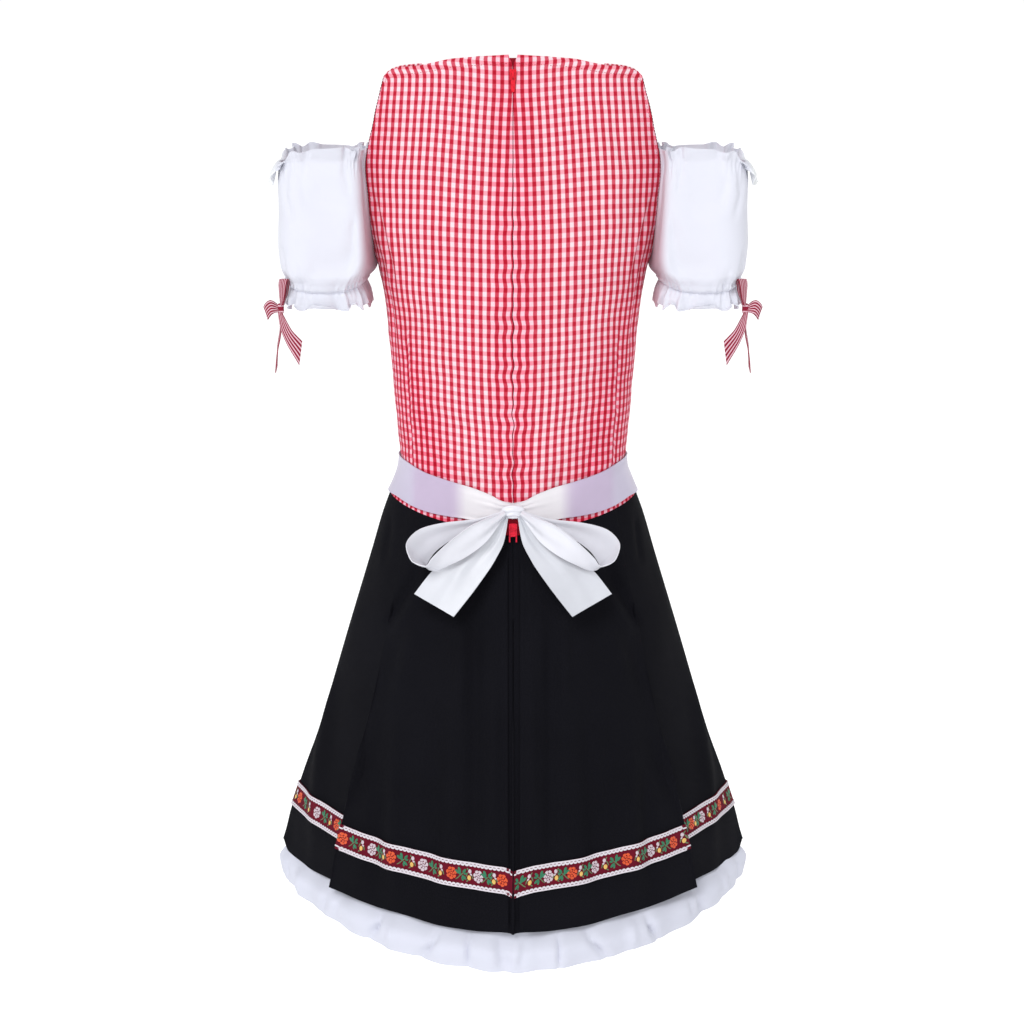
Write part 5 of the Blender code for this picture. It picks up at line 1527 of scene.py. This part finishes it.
def add_stitches(name, path, out, length, radius, material):
    """A row of short raised stitches along a line of points, out from the cloth."""
    walked = arc(path[None])[0]
    starts = np.arange(STITCH_PITCH / 2, walked[-1] - length, STITCH_PITCH)
    share, fat = np.transpose(STITCH_RINGS)
    at = starts[:, None] + share * length
    angle = 2 * pi * np.arange(STITCH_SIDES) / STITCH_SIDES

    def along(values, shift=0.0):
        return np.stack([np.interp(at + shift, walked, column) for column in values.T], axis=-1)

    centre, normal = along(path), along(out)
    ahead = along(path, 1e-4) - centre
    ahead /= np.maximum(np.linalg.norm(ahead, axis=-1, keepdims=True), 1e-9)
    across = np.cross(normal, ahead)[..., None, :]
    centre, normal = centre[..., None, :], normal[..., None, :]
    offset = np.cos(angle)[:, None] * across + (0.8 * np.sin(angle)[:, None] + 0.3) * normal
    places = centre + radius * fat[:, None, None] * offset
    index = np.arange(places[..., 0].size).reshape(places.shape[:3])
    following = np.roll(index, -1, axis=2)
    corners = (index[:, :-1], index[:, 1:], following[:, 1:], following[:, :-1])
    uv = np.zeros((index.size, 2))
    obj = add_mesh(name, places.reshape(-1, 3), np.stack(corners, axis=-1), material, uv)
    dress_piece(obj, [], "red_gingham")


def add_all_stitches(backs, red, edge):
    for label, points in backs.items():
        out = normals(points)
        lengths = arc_up(points)
        row = int(np.argmin(np.abs(lengths[-1] - lengths - NECK_HEM)[:, NECK_COLUMN]))
        add_stitches(f"stitches_neck_{label}", points[row], out[row], *STITCH_SIZE, red)
        if label == "right":
            points, out = points[:, ::-1], out[:, ::-1]
        first = int(np.argmin(np.abs(points[:, ARMHOLE_COLUMN, 2] - UNDERARM_Z)))
        points, out = points[first:], out[first:]
        add_stitches(f"stitches_armhole_{label}", points[:, ARMHOLE_COLUMN],
                     out[:, ARMHOLE_COLUMN], *STITCH_SIZE, red)
        # a dark row along the armhole's edge: partly a dark binding, partly painted shade at the
        # edge's outline
        add_stitches(f"edge_armhole_{label}", points[:, 0], out[:, 0], *EDGE_SIZE, edge)


# ---------- the zip and the stage


def dress_nodes(names, material):
    for name in names:
        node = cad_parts[name]
        node.data.materials.clear()
        node.data.materials.append(material)


ZIP_LEG = 0.0058             # how far its legs reach down
ZIP_RIM = (0.0006, 0.0008)   # how far its rim stands out past the box, and in over it


def add_zip_end(material):
    """The moulded end's raised rim and its two short legs, on the box that is in the model."""
    low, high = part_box("zip_end_stop")
    foot = low.z - ZIP_LEG
    outside, inside = ZIP_RIM
    bars = (
        (low.x - outside, low.x + inside, foot, high.z),
        (high.x - inside, high.x + outside, foot, high.z),
        (low.x, high.x, low.z + 0.0060, low.z + 0.0072),
        (low.x, high.x, low.z - 0.0002, low.z + 0.0008),
    )
    places = np.array([
        (x, y, z) for left, right, bottom, top in bars for y in (low.y - 0.0007, low.y + 0.0010)
        for x, z in ((left, bottom), (right, bottom), (right, top), (left, top))
    ])
    sides = [(k, (k + 1) % 4, (k + 1) % 4 + 4, k + 4) for k in range(4)]
    box = np.array([(3, 2, 1, 0), (4, 5, 6, 7), *sides])
    quads = np.concatenate([box + 8 * bar for bar in range(len(bars))])
    obj = add_mesh("zip_end_rim", places, quads, material, np.zeros((len(places), 2)))
    dress_piece(obj, [], "red_moulding")


def add_camera():
    camera = bpy.data.cameras.new("camera")
    camera.lens = camera.sensor_width * FOCAL_PIXELS / IMAGE_WIDTH
    camera.shift_x = -1.0 / IMAGE_WIDTH
    camera.clip_start = 0.05
    obj = place("camera", camera)
    obj.location = (0, -CAMERA_BACK, 0)
    obj.rotation_euler = (radians(90 - CAMERA_PITCH), 0, 0)
    bpy.context.scene.camera = obj


def add_light(name, location, size, energy):
    light = bpy.data.lights.new(name, "AREA" if size else "SUN")
    if size:
        light.size = size
    else:
        light.angle = radians(SUN_ANGLE)
    light.energy = energy
    obj = place(name, light)
    obj.location = location
    towards = Vector(LIGHTS_AIM) - obj.location
    obj.rotation_euler = towards.to_track_quat("-Z", "Y").to_euler()


def add_stage():
    size, z = FLOOR_SIZE, cad_box[0].z - FLOOR_DROP
    corners = np.array([(-size, -size, z), (size, -size, z), (size, size, z), (-size, size, z)])
    paint = floor_paint("pale floor")
    add_mesh("floor", corners, np.arange(4), paint, corners[:, :2])
    world = bpy.data.worlds.new("studio")
    world.use_nodes = True
    nodes, links = world.node_tree.nodes, world.node_tree.links
    ramp = nodes.new("ShaderNodeValToRGB")
    for element, (position, white) in zip(ramp.color_ramp.elements, SKY):
        element.position = position
        element.color = (white, white, white, 1)
    split = nodes.new("ShaderNodeSeparateXYZ")
    links.new(nodes.new("ShaderNodeTexCoord").outputs["Generated"], split.inputs[0])
    links.new(split.outputs["Z"], ramp.inputs[0])
    links.new(ramp.outputs[0], nodes["Background"].inputs["Color"])
    bpy.context.scene.world = world
    add_light("sun", (-1.0, -2.2, 2.0), None, 1.5)
    add_light("key", (-1.2, -2.4, 0.9), 0.7, 8)
    add_light("fill", (1.5, -2.4, 0.5), 0.7, 6)
    add_light("front", (1.2, 2.6, 1.2), 2.0, 22)


# ---------- the dress


# The shade between the strands of each thread, and the strands' own.
THREADS = {
    "orange": ((0.42, 0.026, 0.005), (0.80, 0.105, 0.018)),
    "pale": ((0.40, 0.32, 0.38), (0.70, 0.60, 0.66)),
    "green": ((0.006, 0.075, 0.035), (0.020, 0.230, 0.110)),
    "stem": ((0.060, 0.090, 0.045), (0.130, 0.210, 0.090)),
    "yellow": ((0.56, 0.28, 0.04), (0.82, 0.56, 0.16)),
}


def main():
    red_checks = gingham("red gingham", CHECK_WIDTH, CHECK_HEIGHT)
    backs = add_bodice_backs(red_checks)
    add_bodice_fronts(red_checks)
    add_skirt(black_twill("black twill"))
    threads = {tone: thread(f"{tone} thread", *pair) for tone, pair in THREADS.items()}
    add_trim(woven_band("woven band"), white_cotton("lace", (0.60, 0.56, 0.61), 0.0006), threads)
    add_petticoat(white_cotton("petticoat lawn", (0.590, 0.605, 0.695)))
    # the sleeves' colour near the bodice is painted shade tinted by reflected red, and on the
    # frill's flap a painted lightening
    add_sleeves(white_cotton("white cotton", (0.650, 0.660, 0.735),
                             body_shade=(0.560, 0.440, 0.510), outside=(0.800, 0.820, 0.835)))
    add_sleeve_bows(striped_ribbon("striped ribbon"))
    # the band's satin carries painted highlight and shade; the tails take a darker, shaded copy of
    # the same satin
    add_sash(satin("white satin"), satin("white satin tail shade", SATIN_TAIL_SHADE),
             satin("white satin band", at_waist=True))
    # the edge thread's dark row at the armholes is partly a dark binding and partly painted shade
    # at the outline
    add_all_stitches(backs, thread("red thread", (0.20, 0.004, 0.012), (0.42, 0.012, 0.030)),
                     thread("edge thread", (0.050, 0.004, 0.010), (0.120, 0.008, 0.020)))
    dress_nodes(("zip_tape", "zip_end_tape"), zip_tape_cloth("zip tape"))
    red_moulding = enamel("red moulding", (0.800, 0.004, 0.036), 0.40)
    add_zip_end(red_moulding)
    dress_nodes(("zip_end_stop",), red_moulding)
    dress_nodes(("zip_slider", "zip_pull"), enamel("red enamel", (0.740, 0.004, 0.022)))
    add_camera()
    add_stage()
    bpy.context.scene.view_settings.view_transform = "Standard"


main()
